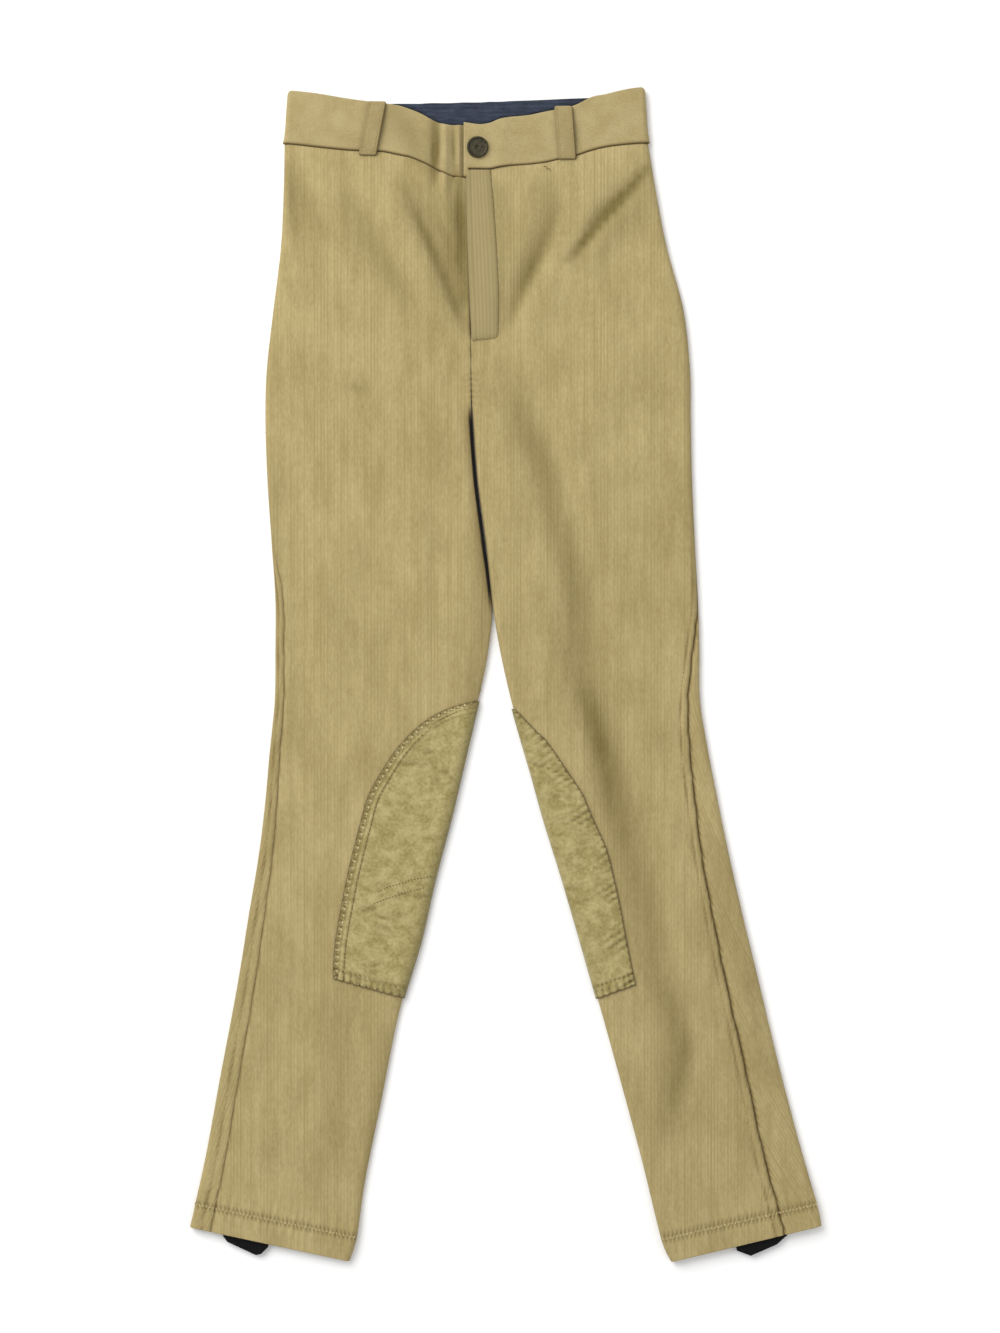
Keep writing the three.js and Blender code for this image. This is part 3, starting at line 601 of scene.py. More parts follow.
# One or more flattened sections of a leg. Lengths are walked from the outer edge's tip:
# positive over the top, negative along the underside, both to the inner edge's tip.
class LegSection:

    def __init__(self, side, row):
        rows = legs[side]
        self.side = side
        self.row = row = np.asarray(row, float)
        self.outerX, self.outerY = along(rows, "outerX", row), along(rows, "outerY", row)
        overX = along(rows, "innerX", row) - self.outerX
        overY = along(rows, "innerY", row) - self.outerY
        self.width = np.hypot(overX, overY)
        self.overX, self.overY = overX / self.width, overY / self.width
        blendRows = legForm["crotchBlend"]
        self.closed = smooth((row - legForm["crotchRow"] + blendRows) / (2 * blendRows))
        hem = (row - legForm["hemRow"] + legForm["hemRiseRows"]) / legForm["hemRiseRows"]
        self.hemLift = legForm["hemRise"] * smooth(hem)
        depth = legForm["edgeDepth"]
        self.outerMid = self.height(depth) / 2
        self.outerArc = quarterArc(depth, self.outerMid)
        self.topRound = along(rows, "innerRound", row)
        self.innerMid = self.height(self.width - self.topRound) / 2
        seamIn = along(rows, "seamIn", row)
        self.seam = np.where(seamIn < depth, seamIn * self.outerArc / depth,
                             seamIn + self.outerArc - depth)

    def ground(self, a):
        return self.outerX + self.overX * a, self.outerY + self.overY * a

    def height(self, a):
        return clothHeight(*self.ground(a)) + self.hemLift

    def endArc(self, rounding):
        return mix(rounding, quarterArc(rounding, self.innerMid), self.closed)

    def reach(self, way):
        rounding = legForm["backRound"] if way < 0 else self.topRound
        return self.outerArc + self.width - legForm["edgeDepth"] - rounding + self.endArc(rounding)

    def place(self, length):
        top = length >= 0
        far = np.abs(length)
        depth = legForm["edgeDepth"]
        rounding = np.where(top, self.topRound, legForm["backRound"])
        flat = self.width - depth - rounding
        end = np.where(top, self.endArc(self.topRound), self.endArc(legForm["backRound"]))
        turn = np.clip(far / self.outerArc, 0, 1) * (math.pi / 2)
        edgeA = depth * (1 - np.cos(turn))
        edgeZ = self.outerMid * (1 + np.where(top, 1, -1) * np.sin(turn))
        flatA = depth + far - self.outerArc
        turn = np.clip((far - self.outerArc - flat) / end, 0, 1) * (math.pi / 2)
        gap = (1 - self.closed) * legForm["seamGap"] / 2
        endA = self.width - rounding + (rounding - gap) * np.sin(turn)
        a = np.where(far < self.outerArc, edgeA,
                     np.where(far < self.outerArc + flat, flatA, endA))
        level = np.where(top, self.height(a), 0)
        drop = self.closed * (1 - np.cos(turn))
        z = np.where(far < self.outerArc, edgeZ, mix(level, self.innerMid, drop))
        rising = np.clip(z / legForm["restHeight"], 0, 1)
        share = np.where(top, np.sin(rising * math.pi / 2), 0)
        lowest = np.minimum(z, legForm["lowest"])
        detailed = np.maximum(z + seamRelief(self, length, a) * share, lowest)
        return a, np.where(top, detailed, z)

    # Points on the outline, moved out along its normal, as x, y, z columns
    def points(self, length, out):
        step = legForm["normalStep"]
        length = np.asarray(length, float)
        a, z = self.place(length)
        beforeA, beforeZ = self.place(length - step)
        afterA, afterZ = self.place(length + step)
        normalA, normalZ = beforeZ - afterZ, afterA - beforeA
        size = np.maximum(np.hypot(normalA, normalZ), 1e-9)
        x, y = self.ground(a + normalA / size * out)
        return np.stack(np.broadcast_arrays(x, y, z + normalZ / size * out), axis=-1)


# Row numbers about step apart on the garment, and some extra ones; one above 0 runs in under the band
def evenRows(rows, step, extra):
    fine = np.linspace(0, legForm["edgeRow"], 800)
    x = (along(rows, "outerX", fine) + along(rows, "innerX", fine)) / 2
    y = (along(rows, "outerY", fine) + along(rows, "innerY", fine)) / 2
    far = np.concatenate([[0], np.cumsum(np.hypot(np.diff(x), np.diff(y)))])
    count = int(round(far[-1] / step))
    even = np.interp(np.linspace(0, far[-1], count + 1), far, fine)
    return np.unique(np.concatenate([even, extra]).round(4))


# Making a sheet

sheetSet = {"weld": 0.02, "sliver": 0.01}


def newPiece(name, bm):
    mesh = bpy.data.meshes.new(name)
    bm.to_mesh(mesh)
    bm.free()
    piece = bpy.data.objects.new(name, mesh)
    bpy.context.collection.objects.link(piece)
    return piece


# A grid whose points are moved to points[row, column] in millimetres, then given a wall
def placedSheet(name, points, attributes=None, wall=1.0, up=True, merge=False):
    rowCount, columnCount = points.shape[:2]
    bm = bmesh.new()
    bmesh.ops.create_grid(bm, x_segments=columnCount - 1, y_segments=rowCount - 1, size=1)
    piece = newPiece(name, bm)
    mesh = piece.data
    flat = np.empty(len(mesh.vertices) * 3)
    mesh.vertices.foreach_get("co", flat)
    flat = flat.reshape(-1, 3)
    column = np.rint((flat[:, 0] + 1) / 2 * (columnCount - 1)).astype(int)
    row = np.rint((flat[:, 1] + 1) / 2 * (rowCount - 1)).astype(int)
    mesh.vertices.foreach_set("co", (points[row, column] * mm).ravel())
    for key, values in (attributes or {}).items():
        layer = mesh.attributes.new(key, "FLOAT", "POINT")
        layer.data.foreach_set("value", values[row, column].astype(np.float32))
    mesh.update()
    bm = bmesh.new()
    bm.from_mesh(mesh)
    if merge:
        bmesh.ops.remove_doubles(bm, verts=bm.verts, dist=sheetSet["weld"] * mm)
        bmesh.ops.dissolve_degenerate(bm, edges=bm.edges, dist=sheetSet["sliver"] * mm)
    bm.normal_update()
    facing = sum(face.normal.z * face.calc_area() for face in bm.faces)
    if (facing > 0) != up:
        bmesh.ops.reverse_faces(bm, faces=bm.faces)
    for face in bm.faces:
        face.smooth = True
    bm.to_mesh(mesh)
    bm.free()
    solidify = piece.modifiers.new("wall", "SOLIDIFY")
    solidify.thickness = wall * mm
    solidify.offset = -1
    solidify.use_rim = True
    return piece


def dress(piece, material, node=None):
    piece.data.materials.append(materials[material])
    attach(piece, "root")
    if node:
        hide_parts(node)


# Distance between neighbours in a grid of points, down it or over it
def steps(grid, axis):
    return np.linalg.norm(np.diff(grid, axis=axis), axis=-1)


# Panels

ribSet = {
    "pitch": 2.5, "columns": 4, "height": 0.11, "rowStep": 6.0, "margin": 8, "wrap": 52,
    "fineUnder": 12, "stray": 0.17, "straySeed": 3, "uneven": (0.15, 1.0), "unevenSeed": 7,
    "wear": (0.78, 0.22), "wearRate": 2.1, "wearDrift": 0.25, "wall": 1.0, "boxFilled": 0.98,
    "closeRows": [*np.arange(4.05, 5.4, 0.048), -0.03, -0.015, 0.01, 0.025, 0.045, 17.75, 17.85,
                  17.91, 17.96, 18.0, 18.04, 18.09, 18.15, 18.25, 18.9, 18.94, 18.97, 18.99],
}
# Relief of the seams; the numbers with "from" and "rows" are rows of the leg's table
seamSet = {
    "from": 7.2, "rows": 1.2, "groove": {"right": 0.8, "left": 1.5},
    "grooveHalf": {"right": 1.2, "left": 1.3}, "gap": {"right": 0.1, "left": 0.16},
    "wander": 0.4, "wanderWaves": ((1, 9.1), (0.6, 17.3)),
    "stitchDip": 0.35, "stitchHalf": 0.9, "centreDip": 0.9, "centreHalf": 1.3,
    "flyFoot": 245, "flyFade": 20, "pucker": 0.38, "puckerLength": 4.4, "puckerHalf": 5,
    "puckerTop": 248, "puckerFade": 6, "ridge": 0.5, "ridgeIn": 2.3, "ridgeHalf": 1.5,
    "ridgeFoot": 235, "waistDip": 0.9, "waistHalf": 2.0, "rowLength": 41,
    "hemDip": 0.5, "hemHalf": 1.5, "hemPucker": 0.4, "hemPuckerLength": 7.3, "hemPuckerHalf": 9,
    "hemDrift": ((2.4, 11), (1.7, 4.3)), "hemRoll": 1.1, "hemLength": 17.6,
}
# Dark lines of the seams: their own colour with painted shade in their grooves, and the painted shadow in
# the cleft
lineSet = {
    "from": 6.6, "rows": 1.6, "deep": {"right": 0.5, "left": 0.95}, "half": 0.9, "spots": 3.1,
    "stitches": (0.3, 0.3), "centre": 0.9, "centreHalf": 1.5, "puckers": (0.45, 0.35),
    "waist": 0.9, "waistHalf": 2.0, "cleft": {"right": 2.9, "left": 0.5}, "cleftEdge": 0.8,
    "cleftSoft": {"right": 5.5, "left": 0.9}, "cleftShade": 0.6, "cleftFrom": 4.8,
    "cleftFromRows": 0.4, "cleftTo": 8.2, "cleftToRows": 0.5,
    "hem": 0.65, "hemAway": 1.0, "hemHalf": 0.8,
}
# Distance from the side seam to its topstitching, for each leg row
stitchIn = {
    "right": table("row away", [[8, 4.0], [10, 4.2], [12, 4.8], [14, 6.5], [16, 7.0], [19, 7.2]]),
    "left": table("row away", [[8, 4.5], [9, 5.0], [11, 6.5], [13, 5.5], [15, 5.5], [17, 7.0],
                               [19, 6.5]]),
}


# Length at which the side seam's topstitching lies: both lie on the viewer's left of it
def topstitchPlace(section):
    away = np.interp(section.row, stitchIn[section.side]["row"], stitchIn[section.side]["away"])
    return section.seam + (away if section.side == "left" else -away)


# The side seam wanders a little from its line
def seamWander(row):
    waves = sum(share * np.sin(row * rate) for share, rate in seamSet["wanderWaves"])
    return seamSet["wander"] * waves


# Relief of the seams and hem, on a section's outline
def seamRelief(section, length, a):
    f, side, row = seamSet, section.side, section.row
    x, y = section.ground(a)
    inward = section.reach(1) - length
    shown = smooth((row - f["from"]) / f["rows"])
    groove = bell(length - section.seam - seamWander(row), f["grooveHalf"][side])
    total = fineHeight(x, y) - shown * f["groove"][side] * groove
    total = total - shown * f["stitchDip"] * bell(length - topstitchPlace(section), f["stitchHalf"])
    dip = f["centreDip"] * mix(0.5, 1, smooth((y - f["flyFoot"]) / f["flyFade"]))
    total = total - (1 - section.closed) * dip * bell(inward, f["centreHalf"])
    pucker = sine(y, f["puckerLength"]) * smooth((f["puckerTop"] - y) / f["puckerFade"])
    pucker = pucker * (1 - section.closed)
    total = total + f["pucker"] * pucker * bell(inward, f["puckerHalf"])
    if side == "left":
        ridge = bell(inward - f["ridgeIn"], f["ridgeHalf"])
        total = total + f["ridge"] * smooth((y - f["ridgeFoot"]) / f["flyFade"]) * ridge
    total = total - f["waistDip"] * smooth(1 - row * f["rowLength"] / f["waistHalf"])
    hem = (row - legForm["hemRow"]) * f["hemLength"]
    drift = sum(size * np.sin(a / over) for size, over in f["hemDrift"])
    pucker = sine(a, f["hemPuckerLength"], drift) * bell(hem, f["hemPuckerHalf"])
    total = total - f["hemDip"] * bell(hem, f["hemHalf"]) + f["hemPucker"] * pucker
    return total - rolled((legForm["edgeRow"] - row) * f["hemLength"], f["hemRoll"])


# How far the front cloth sags below the straight seam of the back
def frontSlack(side, x, row):
    rows = legs[side]
    share = np.clip((x - rows["outerX"][0]) / (rows["innerX"][0] - rows["outerX"][0]), 0, 1)
    straight = mix(rows["outerY"][0], rows["innerY"][0], share)
    fade = np.clip(1 - row / legForm["slackRows"], 0, 1) ** 2
    return (across(waists[side], "frontSeam", x) - straight) * fade


# Places of a leg's upright columns, and each one's number within the cords
def cordColumns(side, front):
    f, rows = ribSet, legs[side]
    ends = np.concatenate([rows["outerX"], rows["innerX"]])
    low, high = ends.min() - f["margin"], ends.max() + f["margin"]
    if not front and side == "right":
        low = low - f["wrap"]
    if not front and side == "left":
        high = high + f["wrap"]
    lineX = np.arange(low, high, f["pitch"] / f["columns"])
    chance = np.random.default_rng(f["straySeed"])
    lineX = lineX + chance.uniform(-f["stray"], f["stray"], len(lineX))
    order = np.arange(len(lineX))
    if not front:
        # The cords underneath need only two columns each
        if side == "right":
            wrapped = lineX < rows["outerX"].max() + f["fineUnder"]
        else:
            wrapped = lineX > rows["outerX"].min() - f["fineUnder"]
        order = order[wrapped | (order % 2 == 0)]
        lineX = lineX[order]
    if side == "left":
        return lineX[::-1], order[::-1]
    return lineX, order


# 1 on a cord's crest. Each cord stands up a little more or less, and wears along its length.
# The same value sets the painted shade colour in the cord valleys.
def cordCrest(order, row):
    f = ribSet
    crest = 0.5 + 0.5 * np.cos(2 * np.pi * order / f["columns"])
    chance = np.random.default_rng(f["unevenSeed"])
    cord = chance.uniform(*f["uneven"], order.max() + 2)[(order + 2) // f["columns"]]
    drift = np.cumsum(chance.normal(0, f["wearDrift"], len(order)))
    wear = f["wear"][0] + f["wear"][1] * np.sin(row * f["wearRate"] + drift)
    return 1 - (1 - crest) * cord * wear


# Painted shade along the seams, over their own dark colour, and the painted black shadow down in the
# cleft between the legs
def seamShade(section, held, x, y, front):
    f, side, row = lineSet, section.side, section.row
    shown = smooth((row - f["from"]) / f["rows"])
    seam = f["deep"][side] * shown * bell(held - section.seam - seamWander(row), f["half"])
    stitched = bell(held - topstitchPlace(section), f["half"])
    seam = seam + shown * stitched * (f["stitches"][0] + f["stitches"][1] * sine(y, f["spots"]))
    cleft = np.zeros(seam.shape)
    if front:
        # painted shade along the centre seam, in spots where it puckers below the fly
        centre = bell(section.reach(1) - held, f["centreHalf"]) * (1 - section.closed)
        puckers = f["puckers"][0] + f["puckers"][1] * sine(y, seamSet["puckerLength"])
        besideFly = smooth((y - seamSet["flyFoot"]) / seamSet["flyFade"])
        seam = seam + mix(puckers, f["centre"], besideFly) * centre
        # painted shade under the waistband's edge
        seam = seam + f["waist"] * smooth(1 - row * seamSet["rowLength"] / f["waistHalf"])
        # Where the legs nearly meet, one edge rolls under the other and the cleft is painted black as
        # shadow
        tipX, tipY = section.ground(section.width)
        away = np.hypot(x - tipX, y - tipY)
        near = smooth((row - f["cleftFrom"]) / f["cleftFromRows"])
        near = near * smooth((f["cleftTo"] - row) / f["cleftToRows"])
        cleft = near * smooth((f["cleft"][side] - away) / f["cleftEdge"])
        seam = seam + f["cleftShade"] * near * bell(away, f["cleftSoft"][side])
    # painted shade in spots along the hem's stitching
    hem = (row - legForm["hemRow"]) * seamSet["hemLength"]
    marks = 0.5 + 0.5 * sine(x, f["spots"], np.pi * (hem > 0))
    seam = seam + f["hem"] * bell(np.abs(hem) - f["hemAway"], f["hemHalf"]) * marks * (held > 0)
    return np.clip(seam, 0, 1), cleft


def panel(name, side, front):
    row = evenRows(legs[side], ribSet["rowStep"], ribSet["closeRows"])[:, None]
    lineX, order = cordColumns(side, front)
    crest = cordCrest(order, row)
    gap = seamSet["gap"][side] / 2
    section = LegSection(side, row)
    # Upright cord lines, held between the section's two ends; the back's cords are the same
    # ones mirrored in the outer edge's fold
    length = (lineX - section.outerX) / section.overX + section.outerArc - legForm["edgeDepth"]
    if front:
        held = np.clip(length, section.seam + gap, section.reach(1) - gap)
    else:
        length = -length
        held = np.clip(length, gap - section.reach(-1), section.seam - gap)
    crest = np.where(held == length, crest, 1.0)
    grid = section.points(held, ribSet["height"] * (crest - 0.5))
    if front:
        grid[..., 1] += frontSlack(side, grid[..., 0], row)
    grid[..., 2] = np.maximum(grid[..., 2], 0.0)
    x, y = grid[..., 0], grid[..., 1]
    seam, cleft = seamShade(section, held, x, y, front)
    # fold, seam and cleft hold painted shade for the folds and seams, and the painted cleft shadow
    attributes = {"rib": crest, "fold": foldShade(x, y) * (held > 0), "seam": seam, "cleft": cleft}
    piece = placedSheet("cloth_" + name, grid, attributes, ribSet["wall"], up=front, merge=True)
    dress(piece, "cloth", name)


panel("back_right", "right", False)
panel("back_left", "left", False)
panel("front_right", "right", True)
panel("front_left", "left", True)
print("panels ready")


# Waistband

bandForm = {
    "wall": 1.5, "roll": 0.9, "proud": 0.5, "arcDepth": 4.5, "lean": 2, "leanReach": 40,
    "arcSteps": 9, "puff": 0.25, "step": 0.8, "rowStep": 2.0, "tall": 38,
    "overlapEdge": -31.5, "overlapTop": 8.4, "overlapFlat": -6, "overlapDown": 12,
    "underlapEnd": -8, "underlapTop": 6.0, "underlapSeam": 380, "underlapFrom": -35,
    "underlapTo": -31.8, "underlapSeamFrom": -32, "underlapSeamRun": 3,
    "tongueFrom": -28.9, "tongueRun": 0.8, "tongueSeam": 371.6, "corner": 3.2, "flare": 1.6,
    "foldShade": 0.3, "edgeShade": 0.6, "edgeShadeOut": 0.6, "edgeShadeHalf": 0.8,
    "seamShade": 0.9, "seamShadeHalf": 1.3,
}
backBandForm = {"wall": 1.6, "roll": 0.7, "columns": 90, "rowStep": 3.0, "under": 0.3, "rollFrom": 0.9}
edgeSteps = np.array([0, 0.12, 0.35, 0.7, 1.2, 1.8])
innerFrom = 2.5              # where the even places begin, inside the close ones


# Places from start to end, close together at both ends where an edge is rolled
def closeEnds(start, end, step):
    length = abs(end - start)
    count = max(int(round((length - 2 * innerFrom) / step)), 1)
    inner = np.linspace(innerFrom, length - innerFrom, count + 1)
    places = np.concatenate([edgeSteps, inner, (length - edgeSteps)[::-1]])
    return start + math.copysign(1, end - start) * places


def bandTop(x, y):
    return clothHeight(x, y) + bandForm["proud"]


def rightBandTop(x, y):
    f = bandForm
    under = smooth((x - f["underlapFrom"]) / (f["underlapTo"] - f["underlapFrom"]))
    return mix(bandTop(x, y), f["underlapTop"], under)


def leftBandTop(x, y):
    f = bandForm
    clear = smooth((x - f["overlapFlat"]) / (f["overlapDown"] - f["overlapFlat"]))
    return mix(f["overlapTop"], bandTop(x, y), clear)


def rightSeam(x):
    f = bandForm
    rise = smooth((x - f["underlapSeamFrom"]) / f["underlapSeamRun"])
    return mix(across(rightWaist, "frontSeam", x), f["underlapSeam"], rise)


def leftSeam(x):
    f = bandForm
    end = smooth((x - f["tongueFrom"]) / f["tongueRun"])
    return mix(f["tongueSeam"], across(leftWaist, "frontSeam", x), end)


# The value of one of the waist's columns, from the right half or the left
def waistAt(key, x):
    return np.where(x < bandForm["overlapEdge"], across(rightWaist, key, x), across(leftWaist, key, x))


# One row of a front band: round the side fold, then over the front to endX
def frontBandRow(side, share, endX, topOf, seamOf):
    f = bandForm
    waist, outerX = waists[side], legs[side]["outerX"][0]
    out = math.copysign(1, outerX)

    def lean(x):
        near = np.clip(1 - np.abs(x - outerX) / f["leanReach"], 0, 1)
        return x - out * (f["lean"] * (1 - share) - f["flare"] * share ** 6) * near

    def yAt(x):
        top = across(waist, "frontTop", x) - rolled(np.abs(x - outerX), f["corner"])
        return mix(top, seamOf(x), share)

    def fall(x):
        tall = across(waist, "frontTop", x) - seamOf(x)
        edges = rolled(share * tall, f["roll"]) + rolled((1 - share) * tall, f["roll"])
        return edges - f["puff"] * math.sin(math.pi * share)

    x = closeEnds(outerX - out * f["arcDepth"], endX, f["step"])
    y = yAt(x)
    z = topOf(x, y) + fineHeight(x, y) - fall(x) - rolled(np.abs(x - endX), f["roll"])
    flat = np.stack([lean(x), y, z], axis=-1)
    crown = float(topOf(x[0], y[0]) + fineHeight(x[0], y[0]))
    turns = np.linspace(0, math.pi / 2, f["arcSteps"])[:-1]
    inward = out * f["arcDepth"] * (1 - np.cos(turns))
    drop = float(fall(outerX)) * np.sin(turns)
    arcX = lean(outerX) - inward - float(fall(outerX)) * np.cos(turns) * out
    arcZ = crown / 2 * (1 + np.sin(turns)) + legForm["seamGap"] / 2 - drop
    return np.concatenate([np.stack([arcX, yAt(outerX - inward), arcZ], axis=-1), flat])


def frontBand(side, endX, topOf, seamOf):
    f = bandForm
    name = "waistband_front_" + side
    shares = closeEnds(0, f["tall"], f["rowStep"]) / f["tall"]
    grid = np.array([frontBandRow(side, share, endX, topOf, seamOf) for share in shares])
    x, y = grid[..., 0], grid[..., 1]
    relief = creaseHeight(crumples, x, y) + creaseHeight(fineCreases, x, y)
    fold = creaseHeight(shades, x, y) + f["foldShade"] * np.maximum(-relief, 0)
    if side == "right":
        # Shade beside the overlapping edge
        away = x - f["overlapEdge"] + f["edgeShadeOut"]
        fold = fold + f["edgeShade"] * bell(away, f["edgeShadeHalf"])
    seam = f["seamShade"] * bell((1 - shares) * f["tall"], f["seamShadeHalf"])
    attributes = {"fold": np.clip(fold, 0, 1), "seam": np.broadcast_to(seam[:, None], fold.shape)}
    piece = placedSheet("cloth_" + name, grid, attributes, f["wall"])
    dress(piece, "band", name)


frontBand("right", bandForm["underlapEnd"], rightBandTop, rightSeam)
frontBand("left", bandForm["overlapEdge"], leftBandTop, leftSeam)


def backSeamAt(x):
    right, left = rightLeg, leftLeg
    middle = right["innerX"][0]
    onRight = np.interp(x, [right["outerX"][0], middle], [right["outerY"][0], right["innerY"][0]])
    onLeft = np.interp(x, [middle, left["outerX"][0]], [left["innerY"][0], left["outerY"][0]])
    return np.where(x < middle, onRight, onLeft)


def backBand():
    f, band = backBandForm, bandForm
    half = (legForm["restHeight"] + legForm["waistRise"] + band["proud"]) / 2
    turns = np.linspace(0, math.pi / 2, band["arcSteps"])[:-1]
    ends = [rightLeg["outerX"][0], leftLeg["outerX"][0]]
    arcIn = band["arcDepth"] + band["lean"]
    flatX = np.linspace(ends[0] + arcIn, ends[1] - arcIn, f["columns"])
    grid = []
    for share in closeEnds(0, band["tall"], f["rowStep"]) / band["tall"]:
        def yAt(x):
            out = np.minimum(np.abs(x - ends[0]), np.abs(x - ends[1]))
            top = waistAt("backTop", x) - f["under"] - rolled(out, band["corner"])
            return mix(top, backSeamAt(x), share)

        tall = band["tall"]
        roll = float(rolled(share * tall, f["roll"]) + rolled((1 - share) * tall, f["roll"]))
        lean = band["lean"] * (1 - share) - band["flare"] * share ** 6
        arcs = []
        for outerX in ends:
            side = math.copysign(1, outerX)
            inward = band["arcDepth"] * (1 - np.cos(turns))
            x = outerX - side * (lean + roll * np.cos(turns) + inward)
            z = np.maximum(half * (1 - np.sin(turns)) - legForm["seamGap"] / 2, 0)
            z = np.where(turns > f["rollFrom"], z + roll * np.sin(turns), z)
            arcs.append(np.stack([x, yAt(outerX - side * inward), z], axis=-1))
        flat = np.stack([flatX, yAt(flatX), np.full(len(flatX), roll)], axis=-1)
        grid.append(np.concatenate([arcs[0], flat, arcs[1][::-1]]))
    grid = np.array(grid)
    piece = placedSheet("cloth_waistband_back", grid, wall=f["wall"], up=False)
    dress(piece, "band", "waistband_back")


backBand()

liningForm = {
    "margin": 9, "top": 3.34, "wall": 0.9, "wave": 0.18, "waveLengths": (9, 7, 5, 40),
    "roll": 0.5, "step": 2.0, "rowStep": 1.0,
    "topIn": 0.1, "seamUp": 1, "bandShadow": 0.9, "bandShadowHalf": 1.6,
}


def lining():
    f, tall = liningForm, bandForm["tall"]
    a, b, c, d = f["waveLengths"]
    x = closeEnds(rightLeg["outerX"][0] + f["margin"], leftLeg["outerX"][0] - f["margin"], f["step"])
    grid = []
    for share in closeEnds(0, tall, f["rowStep"]) / tall:
        y = mix(waistAt("backTop", x) - f["topIn"], backSeamAt(x) + f["seamUp"], share)
        ripple = np.sin(x / a + 2 * np.sin(y / b)) * np.sin(y / c + x / d)
        z = f["top"] + f["wave"] * ripple - rolled(share * tall, f["roll"])
        grid.append(np.stack([x, y, z], axis=-1))
    grid = np.array(grid)
    # painted shadow cast by the front band's top edge onto the facing
    above = np.maximum(grid[..., 1] - waistAt("frontTop", grid[..., 0]), 0)
    bandShadow = f["bandShadow"] * bell(above, f["bandShadowHalf"])
    piece = placedSheet("cloth_waistband_lining", grid, {"seam": bandShadow}, f["wall"])
    dress(piece, "navy", "waistband_lining")


lining()
print("waistband ready")


# Fly and zip tape

flyForm = {
    "layerGap": 0.45, "rise": 1.2, "wall": 0.9, "roll": 1.0, "sideRoll": 0.6, "wide": 20.5,
    "rowStep": 2.5, "ridge": 0.55, "ridgeIn": 1.8, "ridgeHalf": 1.3,
    "trough": 0.15, "troughIn": 4.8, "troughHalf": 1.2, "flush": 0.95, "flushIn": 4, "flushUp": 5,
    "ribs": 8, "ribShare": 0.4, "edgeShadowLeft": 0.6, "edgeShadowLeftHalf": 0.5,
    "seamShadeRight": (0.3, 0.2), "seamShadeRightHalf": 0.8, "seamShadeRightLength": 5.3,
}
flyEdges = table("leftX leftY rightX rightY", [
    [-30.0, 377.3, -11.0, 377.3],
    [-29.0, 325.5, -7.5, 333.0],
    [-27.0, 275.5, -5.0, 283.0],
    [-25.5, 249.0, -5.5, 251.5],
])
flyLength = float(flyEdges["leftY"][0] - flyEdges["leftY"][-1])
zipForm = {
    "half": 11, "top": 370, "bottom": 262, "under": 2.9, "lowest": 1.55, "wall": 0.45,
    "columns": 23, "rows": 55, "cord": 0.06, "cordPitch": 2.0,
}


# Place on the strip, at a distance down it and a share over it
def flyPlace(place, share):
    row = np.interp(place, flyEdges["leftY"][0] - flyEdges["leftY"], np.arange(4))
    x = mix(along(flyEdges, "leftX", row), along(flyEdges, "rightX", row), share)
    y = mix(along(flyEdges, "leftY", row), along(flyEdges, "rightY", row), share)
    return x, y


def flyHeight(place, share):
    f = flyForm
    x, y = flyPlace(place, share)
    fromLeft, fromRight, fromFoot = share * f["wide"], (1 - share) * f["wide"], flyLength - place
    z = surfaceHeight(x, y) + f["layerGap"] + f["rise"]
    z = z - rolled(fromLeft, f["roll"]) - rolled(fromRight, f["sideRoll"])
    z = z - rolled(fromFoot, f["roll"]) - f["flush"] * smooth(1 - fromRight / f["flushIn"])
    z = z - f["flush"] * smooth(1 - fromFoot / f["flushUp"])
    z = z + f["ridge"] * bell(fromLeft - f["ridgeIn"], f["ridgeHalf"])
    return z - f["trough"] * bell(fromLeft - f["troughIn"], f["troughHalf"])


def flyPath(place, share):
    return np.stack([*flyPlace(place, share), flyHeight(place, share)], axis=-1)


def fly():
    f = flyForm
    columns = f["ribs"] * ribSet["columns"] + 1
    share = np.linspace(0, 1, columns)
    crest = 0.5 + 0.5 * np.cos(2 * np.pi * np.arange(columns) / ribSet["columns"])
    grid = np.array([flyPath(place, share) for place in closeEnds(0, flyLength, f["rowStep"])])
    grid[..., 2] += f["ribShare"] * ribSet["height"] * (crest - 0.5)
    y = grid[..., 1]
    # painted shade: a broken dark line along the stitched right seam, and a painted shadow along the
    # folded left edge
    broken = f["seamShadeRight"][0] + f["seamShadeRight"][1] * sine(y, f["seamShadeRightLength"]) * np.sin(y / 9)
    seam = broken * bell((1 - share) * f["wide"], f["seamShadeRightHalf"])
    seam = seam + f["edgeShadowLeft"] * bell(share * f["wide"], f["edgeShadowLeftHalf"])
    attributes = {"rib": np.broadcast_to(crest, seam.shape), "seam": seam}
    piece = placedSheet("cloth_fly", grid, attributes, f["wall"])
    dress(piece, "fly", "fly")


def zipTape():
    f = zipForm
    middle = rightLeg["innerX"][0]
    x, y = np.meshgrid(np.linspace(middle - f["half"], middle + f["half"], f["columns"]),
                       np.linspace(f["top"], f["bottom"], f["rows"]))
    cords = f["cord"] * np.cos(2 * np.pi * x / f["cordPitch"])
    z = np.maximum(surfaceHeight(x, y) - f["under"], f["lowest"]) + cords
    grid = np.stack([x, y, z], axis=-1)
    piece = placedSheet("cloth_zip_tape", grid, wall=f["wall"])
    dress(piece, "tape", "zip_tape")


fly()
zipTape()


# Belt loops

